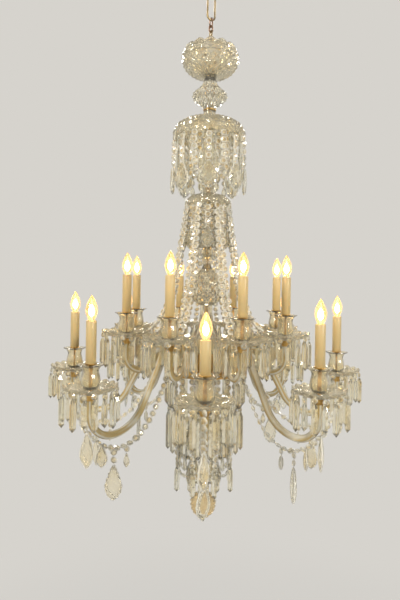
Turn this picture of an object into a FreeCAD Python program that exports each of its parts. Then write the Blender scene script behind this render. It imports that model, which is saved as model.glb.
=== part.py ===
import FreeCAD, Part
import math
import os
from FreeCAD import Vector

# Crystal chandelier, sizes in millimetres. The origin is the point where the ceiling hook
# bears in the hanging link. +Z is up and the front of the chandelier faces -Y.
# Heights with "Z" in their names are measured from that point.

# Suspension chain
hangingLinkLength = 90.0
hangingLinkWidth = 26.0
hangingWire = 6.0
upperLinkLength = 28.0
upperLinkWidth = 15.0
lowerLinkLength = 20.0
lowerLinkWidth = 12.0
eyeLength = 19.0
eyeWidth = 12.0
linkWire = 4.6
linkSides = 6
chainTurn = 30.0

# Clearances: between pieces that hang in each other, and round the stem rod
hangGap = 0.3
boreGap = 0.3

# Stem rod and the glass threaded on it
rodRadius = 6.0
rodAboveGlobe = 32.0
rodSides = 8
tubeSides = 8
stemSides = 12
canopySides = 16

globeRadius = 91.0
globeHeight = 102.0
globeMouth = 68.0
globeScallop = 8.0
globeWall = 7.0
neckRadius = 19.0

spindleRadius = 56.0
spindleHeight = 93.0
collarHeight = 5.0
collarRadius = 20.0

topCanopyRadius = 113.0
topCanopyHeight = 91.0
topCanopyWall = 4.0
canopyScallop = 7.0
topCanopyNeck = 22.0
upperTubeRadius = 15.0
upperTubeHeight = 231.0
middleCanopyRadius = 72.0
middleCanopyHeight = 43.0
middleCanopyWall = 4.0
middleCanopyNeck = 9.0
lowerTubeRadius = 17.0
lowerTubeHeight = 227.0
balusterRadius = 70.0
balusterHeight = 112.0
trumpetRadius = 58.0
trumpetHeight = 143.0
trumpetWall = 4.0
trumpetRise = 30.0

# Receiver plate that carries the arms, and the dishes under it
hubRadius = 34.0
hubHeight = 56.0
plateRadius = 122.0
plateThickness = 8.0
spacerRadius = 14.0
bowlRadius = 118.0
bowlDepth = 26.0
bowlFloorShare = 0.3
bowlWall = 5.0
bowlDrop = 125.0
dishRadius = 78.0
dishDepth = 12.0
dishFloorShare = 0.35
dishDrop = 42.0
tailRadius = 47.0
tailHeight = 50.0
tailDrop = 124.0
nutHeight = 6.0
nutRadius = 12.0
loopWire = 2.5
loopRadius = 5.0
loopCorners = 6
loopSides = 4

# Arms: two tiers, turned half a step from each other
armCount = 8
armRadius = 10.0
armSides = 5
armRootRadius = 105.0
rootCupHeight = 16.0
rootCupRadius = 14.0
rootCupTopShare = 0.85
lowerReach = 406.0
lowerDrop = 34.0
lowerOuterBend = 67.0
lowerInnerBend = 110.0
lowerLegAngle = 63.0
lowerLegLength = 135.0
upperReach = 250.0
upperDrop = 34.0
upperOuterBend = 45.0
upperInnerBend = 50.0
upperLegAngle = 55.0
upperLegLength = 15.0
bendStep = 40.0

# One light, built about the foot of its candle tube. A rise is from the receiver plate's top.
lowerCandleRise = 63.6
upperCandleRise = 181.6
candleHeight = 108.0
frontCandleHeight = 79.0
candleRadius = 13.4
galleryRadius = 15.5
galleryHeight = 4.0
bulbRadius = 15.5
bulbHeight = 64.0
bulbFootRadius = 7.5
lampRodRadius = 4.5
lampSides = 4
nozzleHeight = 67.0
nozzleLipRadius = 35.0
nozzleBellyRadius = 25.0
nozzleNeckRadius = 20.5
nozzleFootRadius = 15.0
nozzleWall = 2.5
nozzleOverlap = 3.0
panRadius = 73.0
panDepth = 14.0
panFloor = 6.0
panFloorRadius = 28.0
panRimThickness = 3.5
armCupHeight = 18.0
armCupRadius = 15.0
cupFootShare = 0.75
candleSides = 8
cupSides = 6
nozzleSides = 6
bulbSides = 6
panSides = 8

# Crystal drops and beads
panPrismCount = 8
prismInset = 5.0
panPrismLength = 95.0
panPrismWidth = 16.0
bowlPrismCount = 16
bowlPrismLength = 132.0
dishPrismCount = 12
dishPrismLength = 90.0
bowlPrismInset = 4.0
beadSides = 3
beadPitch = 20.5
beadWidth = 18.0
beadThickness = 9.0
pinGap = 0.3
topBeadCount = 4
topSideBeadCount = 5
topPendalogueLength = 86.0
topPendalogueWidth = 58.0
middleBeadCount = 3
middlePendalogueLength = 70.0
middlePendalogueWidth = 36.0
tentSlackShare = 1.02
swagSlackShare = 1.63
basketStringCount = 8
basketSlackShare = 1.24
basketInset = 20.0
armPendantLength = 98.0
armPendantWidth = 49.0
panPendantLength = 94.0
panPendantWidth = 39.0
sidePendantLength = 59.0
sidePendantWidth = 33.0
smallPendantLength = 40.0
smallPendantWidth = 18.0
pendantTurn = 45.0
armPendantShare = 0.59
armPendantBeadCount = 2
smallPendantShare = 0.52
smallPendantBeadCount = 1
sidePendantShare = 0.67
panPendantShare = 0.78
finialLength = 95.0
finialWidth = 84.0
finialThickness = 16.0
pendalogueThickness = 12.0


# Facets

def isFlat(corners):
    if len(corners) < 4:
        return True
    normal = (corners[1] - corners[0]).cross(corners[2] - corners[0])
    return all(abs((c - corners[0]).dot(normal)) < 1e-6 * normal.Length for c in corners[3:])


def facet(corners):
    return Part.Face(Part.makePolygon(corners + [corners[0]]))


def facetsBetween(low, high):
    """The flat facets that join one ring of corners to the next; a ring may be one point."""
    count = max(len(low), len(high))
    facets = []
    for i in range(count):
        j = (i + 1) % count
        if len(low) == 1:
            facets.append(facet([low[0], high[j], high[i]]))
        elif len(high) == 1:
            facets.append(facet([low[i], low[j], high[0]]))
        elif isFlat([low[i], low[j], high[j], high[i]]):
            facets.append(facet([low[i], low[j], high[j], high[i]]))
        else:
            facets.append(facet([low[i], low[j], high[j]]))
            facets.append(facet([low[i], high[j], high[i]]))
    return facets


def cutSolid(rings, closed=False):
    """A cut crystal or polygon tube from rings of corners; closed joins the last to the first."""
    facets = []
    for low, high in zip(rings, rings[1:]):
        facets += facetsBetween(low, high)
    if closed:
        facets += facetsBetween(rings[-1], rings[0])
    else:
        facets += [facet(list(ring)) for ring in (rings[0], rings[-1]) if len(ring) > 1]
    shell = Part.Shell(facets)
    shell.sewShape()
    solid = Part.Solid(shell)
    if solid.Volume < 0:
        solid.reverse()
    return solid


def ringAt(radius, z, sides, turn=0.0, scallop=0.0):
    """A level ring of corners; a scallop lifts every second one."""
    if radius == 0:
        return [Vector(0, 0, z)]
    ring = []
    for i in range(sides):
        a = math.radians(turn + 360.0 * i / sides)
        lift = scallop if i % 2 else 0.0
        ring.append(Vector(radius * math.cos(a), radius * math.sin(a), z + lift))
    return ring


def turned(profile, sides, turn=0.0):
    """A solid of revolution with flat sides, from (radius, height) points, bottom to top."""
    return cutSolid([ringAt(r, z, sides, turn) for r, z in profile])


def turnedRing(profile, sides, turn=0.0):
    """The same for a closed profile round a bore or hollow; a third value is the scallop."""
    return cutSolid([ringAt(p[0], p[1], sides, turn, *p[2:]) for p in profile], True)


def boreFor(radius, sides):
    """Corner radius of a bore whose flat sides clear a round or faceted rod of this radius."""
    return (radius + boreGap) / math.cos(math.pi / sides)


def heightOnCone(low, high, radius):
    """Height at a radius on the straight line between two (radius, height) points."""
    return low[1] + (high[1] - low[1]) * (radius - low[0]) / (high[0] - low[0])


# Placing

def facing(azimuth):
    """Level direction at an azimuth counted from the front, -Y, towards +X."""
    a = math.radians(azimuth)
    return Vector(math.sin(a), -math.cos(a), 0)


def standing(shape, radius, azimuth, z=0.0):
    """A copy whose +X side looks outwards at the azimuth, moved out by radius and up by z."""
    copy = shape.copy()
    copy.translate(Vector(radius, 0, z))
    copy.rotate(Vector(0, 0, 0), Vector(0, 0, 1), azimuth - 90.0)
    return copy


def steps(count, start=0.0):
    return [start + 360.0 * i / count for i in range(count)]


# Tubes with flat sides along a path in a vertical plane

class PlanePath:
    """A path of straight runs and stepped bends, given as (distance out, height) points."""

    def __init__(self, out, z, heading):
        self.out = out
        self.z = z
        self.heading = heading
        self.points = [(out, z)]

    def run(self, length):
        a = math.radians(self.heading)
        self.out += length * math.cos(a)
        self.z += length * math.sin(a)
        self.points.append((self.out, self.z))

    def bend(self, angle, radius):
        """Turns by angle, counter-clockwise when positive, in equal chords on the arc."""
        count = max(1, math.ceil(abs(angle) / bendStep))
        step = angle / count
        chord = 2.0 * radius * math.sin(math.radians(abs(step)) / 2.0)
        for i in range(count):
            self.heading += step / 2.0
            self.run(chord)
            self.heading += step / 2.0


def tubeAlong(points, radius, sides, closed=False):
    """A polygon tube in the XZ plane with mitred corners, so that each facet is flat."""
    rings = []
    count = len(points)
    for i, (x, z) in enumerate(points):
        before = points[i - 1] if closed or i > 0 else None
        after = points[(i + 1) % count] if closed or i < count - 1 else None
        comes = Vector(x - before[0], 0, z - before[1]).normalize() if before else None
        goes = Vector(after[0] - x, 0, after[1] - z).normalize() if after else None
        comes = comes or goes
        goes = goes or comes
        along = (comes + goes).normalize()
        mitre = 1.0 / along.dot(goes)
        across = Vector(-along.z, 0, along.x) * mitre
        ring = []
        for k in range(sides):
            a = 2.0 * math.pi * (k + 0.5) / sides
            ring.append(Vector(x, 0, z) + across * (radius * math.sin(a))
                        + Vector(0, 1, 0) * (radius * math.cos(a)))
        rings.append(ring)
    return cutSolid(rings, closed)


# Suspension

def chainLink(length, width, wire, topZ):
    """An oval link in the XZ plane; length and width are between wire centres."""
    half = width / 2.0
    flat = max(0.45 * half, wire)
    shoulder = 0.8 * half
    bottomZ = topZ - length
    right = [(flat, topZ), (half, topZ - shoulder), (half, bottomZ + shoulder), (flat, bottomZ)]
    left = [(-x, z) for x, z in reversed(right)]
    return tubeAlong(right + left, wire / 2.0, linkSides, True)


def turnedLink(link, quarter):
    copy = link.copy()
    copy.rotate(Vector(0, 0, 0), Vector(0, 0, 1), chainTurn + 90.0 * quarter)
    return copy


hangingTopZ = hangingWire / 2.0
hangingBottomZ = hangingTopZ - hangingLinkLength
upperLinkTopZ = hangingBottomZ + (hangingWire + linkWire) / 2.0 + hangGap
upperLinkBottomZ = upperLinkTopZ - upperLinkLength
lowerLinkTopZ = upperLinkBottomZ + linkWire + hangGap
lowerLinkBottomZ = lowerLinkTopZ - lowerLinkLength
eyeTopZ = lowerLinkBottomZ + linkWire + hangGap
eyeBottomZ = eyeTopZ - eyeLength


def hangingLink():
    return [turnedLink(chainLink(hangingLinkLength, hangingLinkWidth, hangingWire, hangingTopZ), 0)]


def upperChainLink():
    return [turnedLink(chainLink(upperLinkLength, upperLinkWidth, linkWire, upperLinkTopZ), 1)]


def lowerChainLink():
    return [turnedLink(chainLink(lowerLinkLength, lowerLinkWidth, linkWire, lowerLinkTopZ), 0)]


# Stem, from the top down. Each piece stands on the one below it.

globeTopZ = eyeBottomZ - rodAboveGlobe
globeBottomZ = globeTopZ - globeHeight
spindleBottomZ = globeBottomZ - spindleHeight
topCanopyZ = spindleBottomZ - collarHeight
topRimZ = topCanopyZ - topCanopyHeight
topCanopySeatZ = topCanopyZ - topCanopyNeck
middleCanopyZ = topCanopySeatZ - upperTubeHeight
middleRimZ = middleCanopyZ - middleCanopyHeight
middleSeatZ = middleCanopyZ - middleCanopyNeck
balusterTopZ = middleSeatZ - lowerTubeHeight
trumpetTopZ = balusterTopZ - balusterHeight
hubTopZ = trumpetTopZ - trumpetHeight
plateTopZ = hubTopZ - hubHeight
plateBottomZ = plateTopZ - plateThickness
lowerCandleZ = plateTopZ + lowerCandleRise
upperCandleZ = plateTopZ + upperCandleRise
bowlFloorZ = plateBottomZ - bowlDrop + bowlWall
bowlBottomZ = bowlFloorZ - bowlWall
dishFloorZ = bowlBottomZ - dishDrop
dishBottomZ = dishFloorZ - bowlWall
tailTopZ = dishBottomZ - tailDrop
tailBottomZ = tailTopZ - tailHeight
nutBottomZ = tailBottomZ - nutHeight
loopCentreZ = nutBottomZ - loopRadius
loopBottomZ = loopCentreZ - loopRadius - loopWire / 2.0
stemBore = boreFor(rodRadius, rodSides)


def stemRod():
    """The rod that carries everything, with its top eye, its bottom nut and the finial's loop."""
    profile = [(nutRadius / 2.0, nutBottomZ), (nutRadius, tailBottomZ), (rodRadius, tailBottomZ),
               (rodRadius, eyeBottomZ)]
    rod = turned(profile, rodSides, 180.0 / rodSides)
    eye = turnedLink(chainLink(eyeLength, eyeWidth, linkWire, eyeTopZ), 1)
    turns = [2.0 * math.pi * k / loopCorners for k in range(loopCorners)]
    corners = [(loopRadius * math.sin(t), loopCentreZ + loopRadius * math.cos(t)) for t in turns]
    loop = tubeAlong(corners, loopWire / 2.0, loopSides, True)
    return [rod.fuse(eye).fuse(loop)]


def topGlobe():
    belly = globeTopZ - 0.36 * globeHeight
    profile = [(stemBore, globeBottomZ), (neckRadius, globeBottomZ),
               (0.82 * globeRadius, globeBottomZ + 0.26 * globeHeight), (globeRadius, belly),
               (globeMouth, globeTopZ - globeScallop, globeScallop),
               (globeMouth - globeWall, globeTopZ - globeScallop, globeScallop),
               (globeRadius - globeWall, belly),
               (0.64 * globeRadius, globeBottomZ + 0.25 * globeHeight),
               (stemBore, globeBottomZ + 0.1 * globeHeight)]
    return [turnedRing(profile, stemSides)]


def spindleBall():
    top = globeBottomZ
    bottom = spindleBottomZ
    profile = [(stemBore, bottom), (neckRadius, bottom),
               (0.42 * spindleRadius, bottom + 0.11 * spindleHeight),
               (spindleRadius, bottom + 0.43 * spindleHeight),
               (0.5 * spindleRadius, top - 0.22 * spindleHeight),
               (neckRadius, top), (stemBore, top)]
    return [turnedRing(profile, stemSides)]


def spindleCollar():
    profile = [(stemBore, topCanopyZ), (collarRadius, topCanopyZ),
               (collarRadius, spindleBottomZ), (stemBore, spindleBottomZ)]
    return [turnedRing(profile, tubeSides)]


def topCanopy():
    rim = topRimZ
    wall = topCanopyWall
    profile = [(topCanopyRadius - wall, rim, canopyScallop), (topCanopyRadius, rim, canopyScallop),
               (0.94 * topCanopyRadius, rim + 0.33 * topCanopyHeight),
               (0.72 * topCanopyRadius, rim + 0.6 * topCanopyHeight),
               (0.22 * topCanopyRadius, rim + 0.8 * topCanopyHeight),
               (neckRadius, topCanopyZ), (stemBore, topCanopyZ),
               (stemBore, topCanopySeatZ), (neckRadius, topCanopySeatZ),
               (0.66 * topCanopyRadius, rim + 0.55 * topCanopyHeight),
               (0.94 * topCanopyRadius - wall, rim + 0.3 * topCanopyHeight)]
    return [turnedRing(profile, canopySides)]


def upperStemTube():
    profile = [(stemBore, middleCanopyZ), (upperTubeRadius, middleCanopyZ),
               (1.25 * upperTubeRadius, middleCanopyZ + 0.45 * upperTubeHeight),
               (upperTubeRadius, topCanopySeatZ), (stemBore, topCanopySeatZ)]
    return [turnedRing(profile, tubeSides)]


def middleCanopy():
    rim = middleRimZ
    wall = middleCanopyWall
    profile = [(middleCanopyRadius - wall, rim, canopyScallop),
               (middleCanopyRadius, rim, canopyScallop),
               (0.86 * middleCanopyRadius, rim + 0.56 * middleCanopyHeight),
               (upperTubeRadius, middleCanopyZ), (stemBore, middleCanopyZ),
               (stemBore, middleSeatZ), (neckRadius, middleSeatZ),
               (0.86 * middleCanopyRadius - wall, rim + 0.46 * middleCanopyHeight)]
    return [turnedRing(profile, canopySides)]


def lowerStemTube():
    profile = [(stemBore, balusterTopZ), (lowerTubeRadius, balusterTopZ),
               (0.85 * lowerTubeRadius, balusterTopZ + 0.5 * lowerTubeHeight),
               (lowerTubeRadius, middleSeatZ), (stemBore, middleSeatZ)]
    return [turnedRing(profile, tubeSides)]


def baluster():
    top = balusterTopZ
    high = balusterHeight
    profile = [(stemBore, trumpetTopZ), (neckRadius, trumpetTopZ),
               (0.78 * balusterRadius, top - 0.78 * high),
               (balusterRadius, top - 0.52 * high), (0.93 * balusterRadius, top - 0.33 * high),
               (0.42 * balusterRadius, top - 0.12 * high), (lowerTubeRadius, top),
               (stemBore, top)]
    return [turnedRing(profile, stemSides)]


def trumpet():
    top = trumpetTopZ
    profile = [(stemBore, hubTopZ), (stemBore, top), (neckRadius, top),
               (neckRadius, top - 0.32 * trumpetHeight),
               (0.72 * trumpetRadius, top - 0.72 * trumpetHeight), (trumpetRadius, hubTopZ),
               (trumpetRadius - trumpetWall, hubTopZ),
               (hubRadius, hubTopZ + trumpetRise), (hubRadius, hubTopZ)]
    return [turnedRing(profile, stemSides)]


def receiverPlate():
    profile = [(stemBore, plateBottomZ), (plateRadius, plateBottomZ),
               (plateRadius, plateTopZ), (hubRadius, plateTopZ), (hubRadius, hubTopZ),
               (stemBore, hubTopZ)]
    return [turnedRing(profile, canopySides)]


def spacer(bottomZ, topZ):
    profile = [(stemBore, bottomZ), (spacerRadius, bottomZ), (spacerRadius, topZ),
               (stemBore, topZ)]
    return turnedRing(profile, tubeSides)


def stemSpacers():
    """Glass spacer tubes between the receiver plate, the dishes and the tail bowl."""
    return [spacer(bowlFloorZ, plateBottomZ), spacer(dishFloorZ, bowlBottomZ),
            spacer(tailTopZ, dishBottomZ)]


def dish(radius, floorZ, depth, floorRadius, sides):
    """A shallow glass dish with a bore for the rod."""
    rimZ = floorZ + depth
    bottomZ = floorZ - bowlWall
    profile = [(stemBore, bottomZ), (floorRadius, bottomZ), (radius, rimZ - bowlWall),
               (radius, rimZ), (floorRadius, floorZ), (stemBore, floorZ)]
    return turnedRing(profile, sides)


def receiverBowl():
    return [dish(bowlRadius, bowlFloorZ, bowlDepth, bowlFloorShare * bowlRadius, canopySides)]


def lowerDish():
    return [dish(dishRadius, dishFloorZ, dishDepth, dishFloorShare * dishRadius, stemSides)]


def tailBowl():
    profile = [(stemBore, tailBottomZ), (nutRadius, tailBottomZ),
               (0.85 * tailRadius, tailBottomZ + 0.32 * tailHeight),
               (tailRadius, tailBottomZ + 0.75 * tailHeight), (spacerRadius, tailTopZ),
               (stemBore, tailTopZ)]
    return [turnedRing(profile, stemSides)]


# The light at the end of an arm. Heights are from the foot of the candle tube.

nozzleTop = -galleryHeight + nozzleOverlap
panTop = nozzleTop - nozzleHeight
panBottom = panTop - panFloor
panRimTop = panTop + panDepth
panRimBottom = panRimTop - panRimThickness
armCupBottom = panBottom - armCupHeight
lampHole = boreFor(lampRodRadius, lampSides)


def candleTube(height=candleHeight):
    return turned([(candleRadius, 0.0), (candleRadius, height)], candleSides)


def bulb(foot=candleHeight):
    profile = [(bulbFootRadius, foot), (bulbRadius, foot + 0.34 * bulbHeight),
               (0.72 * bulbRadius, foot + 0.64 * bulbHeight), (0.0, foot + bulbHeight)]
    return turned(profile, bulbSides)


def gallery():
    return turned([(cupFootShare * galleryRadius, -galleryHeight), (galleryRadius, 0.0)], cupSides)


def armCup():
    """The brass cup on the arm's end, with the lamp rod that holds pan, nozzle and candle."""
    cup = turned([(cupFootShare * armCupRadius, armCupBottom), (armCupRadius, panBottom)], cupSides)
    rod = turned([(lampRodRadius, panBottom), (lampRodRadius, -galleryHeight)], lampSides)
    return cup.fuse(rod)


def nozzle():
    profile = [(lampHole, panTop), (nozzleFootRadius, panTop),
               (nozzleBellyRadius, panTop + 0.36 * nozzleHeight),
               (nozzleNeckRadius, panTop + 0.74 * nozzleHeight),
               (nozzleLipRadius, nozzleTop),
               (nozzleNeckRadius - nozzleWall, panTop + 0.78 * nozzleHeight)]
    return turnedRing(profile, nozzleSides)


def dripPan():
    profile = [(panFloorRadius, panBottom), (panRadius, panRimBottom), (panRadius, panRimTop),
               (panFloorRadius, panTop)]
    pan = turned(profile, panSides, 180.0 / panSides)
    hole = turned([(lampHole, panBottom), (lampHole, panTop)], lampSides)
    return pan.cut(hole)


def barPrism(length, width):
    """A three-sided prism drop hung from its tip at the origin, its foot cut to a point."""
    r = width / math.sqrt(3.0)
    foot = ringAt(r, -0.9 * length, 3)
    foot[0].z = -length
    return cutSolid([foot, ringAt(r, -0.14 * length, 3), [Vector(0, 0, 0)]])


# Arms

rootTopZ = plateTopZ + rootCupHeight


def armPoints(reach, candleZ, drop, outerBend, innerBend, legAngle, legLength):
    """From the pan down, round the low bend, up the leaning leg and over into the root."""
    path = PlanePath(reach, candleZ + armCupBottom, -90.0)
    path.run(drop)
    path.bend(-90.0, outerBend)
    path.bend(-legAngle, innerBend)
    path.run(legLength)
    lean = math.radians(legAngle)
    archRadius = (path.out - armRootRadius) / (1.0 + math.sin(lean))
    path.bend(90.0 + legAngle, archRadius)
    path.points.append((armRootRadius, rootTopZ))
    return path.points


def lowerArmPoints():
    return armPoints(lowerReach, lowerCandleZ, lowerDrop, lowerOuterBend, lowerInnerBend,
                     lowerLegAngle, lowerLegLength)


def upperArmPoints():
    return armPoints(upperReach, upperCandleZ, upperDrop, upperOuterBend, upperInnerBend,
                     upperLegAngle, upperLegLength)


lowerAzimuths = steps(armCount)
upperAzimuths = steps(armCount, 180.0 / armCount)


def rootCups():
    cup = turned([(rootCupRadius, plateTopZ), (rootCupTopShare * rootCupRadius, rootTopZ)], cupSides)
    return [standing(cup, armRootRadius, a) for a in lowerAzimuths + upperAzimuths]


def panPrisms():
    """The ring of prisms under one pan; the swag is tied between two of them."""
    drop = barPrism(panPrismLength, panPrismWidth)
    out = panRadius - prismInset
    hookZ = heightOnCone((panFloorRadius, panBottom), (panRadius, panRimBottom), out) - hangGap
    return [standing(drop, out, a, hookZ) for a in steps(panPrismCount, 180.0 / panPrismCount)]


def onTier(solids, reach, azimuths, candleZ):
    return [standing(s, reach, a, candleZ) for a in azimuths for s in solids]


def onLowerTier(*solids):
    return onTier(solids, lowerReach, lowerAzimuths, lowerCandleZ)


def onUpperTier(*solids):
    return onTier(solids, upperReach, upperAzimuths, upperCandleZ)


def onLowerCandles(make):
    """One piece per lower light, made for its sleeve; the sleeve at the front is shorter."""
    heights = [frontCandleHeight] + [candleHeight] * (armCount - 1)
    return [standing(make(h), lowerReach, a, lowerCandleZ)
            for h, a in zip(heights, lowerAzimuths)]


# Bead strings and pendalogues

def bead(start, end, widthways):
    """A cut bead between two knots of its string, with the pin gap shared by its ends."""
    along = (end - start).normalize()
    middle = (start + end) / 2.0
    half = ((end - start).Length - pinGap) / 2.0
    side = along.cross(widthways).normalize()
    ring = []
    for k in range(beadSides):
        a = 2.0 * math.pi * k / beadSides
        ring.append(middle + side * (beadThickness / 2.0 * math.cos(a))
                    + widthways * (beadWidth / 2.0 * math.sin(a)))
    return cutSolid([[middle - along * half], ring, [middle + along * half]])


def beadString(knots, widthways):
    return [bead(a, b, widthways) for a, b in zip(knots, knots[1:])]


def hangingKnots(start, end, slack):
    """Knots of a string of beads hung between two (distance out, height) points. Slack is the
    least length of the string as a share of the straight distance."""
    across = end[0] - start[0]
    rise = end[1] - start[1]
    beads = math.ceil(slack * math.hypot(across, rise) / beadPitch)
    length = beads * beadPitch
    spread = math.sqrt(length ** 2 - rise ** 2)
    low, high = 1.0, 5000.0
    for i in range(80):
        scale = (low + high) / 2.0
        reach = abs(across) / (2.0 * scale)
        wide = reach > 300.0 or 2.0 * scale * math.sinh(reach) > spread
        low, high = (scale, high) if wide else (low, scale)
    middle = (abs(across) - scale * math.log((length + rise) / (length - rise))) / 2.0
    startArc = scale * math.sinh(-middle / scale)
    knots = []
    for i in range(beads + 1):
        out = middle + scale * math.asinh((startArc + i * beadPitch) / scale)
        drop = scale * (math.cosh((out - middle) / scale) - math.cosh(middle / scale))
        knots.append((start[0] + math.copysign(out, across), start[1] + drop))
    return knots


def inPlane(knots, azimuth):
    return [facing(azimuth) * out + Vector(0, 0, z) for out, z in knots]


def dropKnots(out, z, beads):
    return [(out, z - i * beadPitch) for i in range(beads + 1)]


def radialString(knots, azimuth):
    return beadString(inPlane(knots, azimuth), facing(azimuth + 90.0))


def pendalogue(length, width, thickness):
    """A flat pear-shaped drop facing +X, hung from its tip at the origin."""
    half = width / 2.0
    outline = [(0.0, 0.0), (0.52 * half, -0.3 * length), (half, -0.62 * length),
               (0.66 * half, -0.87 * length), (0.0, -length)]
    right = [Vector(0, y, z) for y, z in outline]
    left = [Vector(0, -y, z) for y, z in reversed(outline[1:-1])]
    belly = -0.6 * length
    return cutSolid([[Vector(-thickness / 2.0, 0, belly)], right + left,
                     [Vector(thickness / 2.0, 0, belly)]])


mainAzimuths = steps(armCount)
betweenAzimuths = steps(armCount, 180.0 / armCount)
topHookRadius = topCanopyRadius - topCanopyWall / 2.0
middleHookRadius = middleCanopyRadius - middleCanopyWall / 2.0


def topBeadStrings():
    """Strings on the low points of the top canopy's rim and longer ones on its high points."""
    beads = []
    for a in mainAzimuths:
        beads += radialString(dropKnots(topHookRadius, topRimZ, topBeadCount), a)
    for a in betweenAzimuths:
        knots = dropKnots(topHookRadius, topRimZ + canopyScallop, topSideBeadCount)
        beads += radialString(knots, a)
    return beads


def topPendalogues():
    drop = pendalogue(topPendalogueLength, topPendalogueWidth, pendalogueThickness)
    z = topRimZ - topBeadCount * beadPitch
    return [standing(drop, topHookRadius, a, z) for a in mainAzimuths]


def middleBeadStrings():
    beads = []
    for a in mainAzimuths:
        beads += radialString(dropKnots(middleHookRadius, middleRimZ, middleBeadCount), a)
    return beads


def middlePendalogues():
    drop = pendalogue(middlePendalogueLength, middlePendalogueWidth, pendalogueThickness)
    z = middleRimZ - middleBeadCount * beadPitch
    return [standing(drop, middleHookRadius, a, z) for a in mainAzimuths]


def tentStrings():
    """Strings from the middle canopy's rim to the inner rims of the upper pans."""
    start = (middleHookRadius, middleRimZ + canopyScallop)
    flatOut = panRadius * math.cos(math.pi / panSides)
    end = (upperReach - flatOut + panRimThickness, upperCandleZ + panRimTop)
    beads = []
    for a in upperAzimuths:
        beads += radialString(hangingKnots(start, end, tentSlackShare), a)
    return beads


def swagKnots():
    """A swag from under an arm's arch, below the low bend, to the pan's outer rim."""
    arch = max(lowerArmPoints(), key=lambda point: point[1])
    archDepth = armRadius / math.cos(math.radians(bendStep / 2.0))
    start = (arch[0], arch[1] - archDepth - 2.0 * pinGap)
    flatOut = panRadius * math.cos(math.pi / panSides)
    floorOut = panFloorRadius * math.cos(math.pi / panSides)
    out = flatOut - prismInset
    under = heightOnCone((floorOut, panBottom), (flatOut, panRimBottom), out)
    end = (lowerReach + out, lowerCandleZ + under)
    return hangingKnots(start, end, swagSlackShare)


def armSwags():
    beads = []
    for a in lowerAzimuths:
        beads += radialString(swagKnots(), a)
    return beads


def onSwag(length, width, share, azimuth, beads=0):
    """A pendalogue, with beads above it, hung this share of the way along the swag."""
    knots = [Vector(0, 0, -i * beadPitch) for i in range(beads + 1)]
    drop = pendalogue(length, width, pendalogueThickness)
    drop.translate(knots[-1])
    pieces = beadString(knots, Vector(0, 1, 0)) + [drop]
    along = swagKnots()
    out, z = along[round(share * (len(along) - 1))]
    for piece in pieces:
        piece.rotate(Vector(0, 0, 0), Vector(0, 0, 1), pendantTurn)
    return [standing(piece, out, azimuth, z - pinGap) for piece in pieces]


def armPendalogue(azimuth):
    """The large pendalogue that swings under an arm, with its beads."""
    return onSwag(armPendantLength, armPendantWidth, armPendantShare, azimuth,
                  armPendantBeadCount)


def smallSwagDrops():
    drops = []
    for a in lowerAzimuths:
        drops += onSwag(smallPendantLength, smallPendantWidth, smallPendantShare, a,
                        smallPendantBeadCount)
        drops += onSwag(sidePendantLength, sidePendantWidth, sidePendantShare, a)
        drops += onSwag(panPendantLength, panPendantWidth, panPendantShare, a)
    return drops


bowlFloorRadius = bowlFloorShare * bowlRadius
dishFloorRadius = dishFloorShare * dishRadius


def underDish(radius, floorRadius, floorZ, depth, out):
    """Height just under a dish at a distance out."""
    low = (floorRadius, floorZ - bowlWall)
    high = (radius, floorZ + depth - bowlWall)
    return heightOnCone(low, high, out) - hangGap


def basketStrings():
    """Strings that fall from the receiver bowl and gather on the tail bowl."""
    out = bowlRadius - basketInset
    start = (out, underDish(bowlRadius, bowlFloorRadius, bowlFloorZ, bowlDepth, out))
    end = (tailRadius, tailTopZ)
    beads = []
    for a in steps(basketStringCount, 180.0 / basketStringCount):
        beads += radialString(hangingKnots(start, end, basketSlackShare), a)
    return beads


def hungRing(count, out, z, length):
    drop = barPrism(length, panPrismWidth)
    return [standing(drop, out, a, z) for a in steps(count, 180.0 / count)]


def bowlPrisms():
    flatRadius = bowlRadius * math.cos(math.pi / canopySides)
    out = flatRadius - bowlPrismInset
    z = underDish(flatRadius, bowlFloorRadius, bowlFloorZ, bowlDepth, out)
    return hungRing(bowlPrismCount, out, z, bowlPrismLength)


def dishPrisms():
    flatRadius = dishRadius * math.cos(math.pi / stemSides)
    out = flatRadius - bowlPrismInset
    z = underDish(flatRadius, dishFloorRadius, dishFloorZ, dishDepth, out)
    return hungRing(dishPrismCount, out, z, dishPrismLength)


def finial():
    drop = pendalogue(finialLength, finialWidth, finialThickness)
    drop.rotate(Vector(0, 0, 0), Vector(0, 0, 1), -90.0)
    drop.translate(Vector(0, 0, loopBottomZ - hangGap))
    return [drop]


# Nodes

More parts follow.
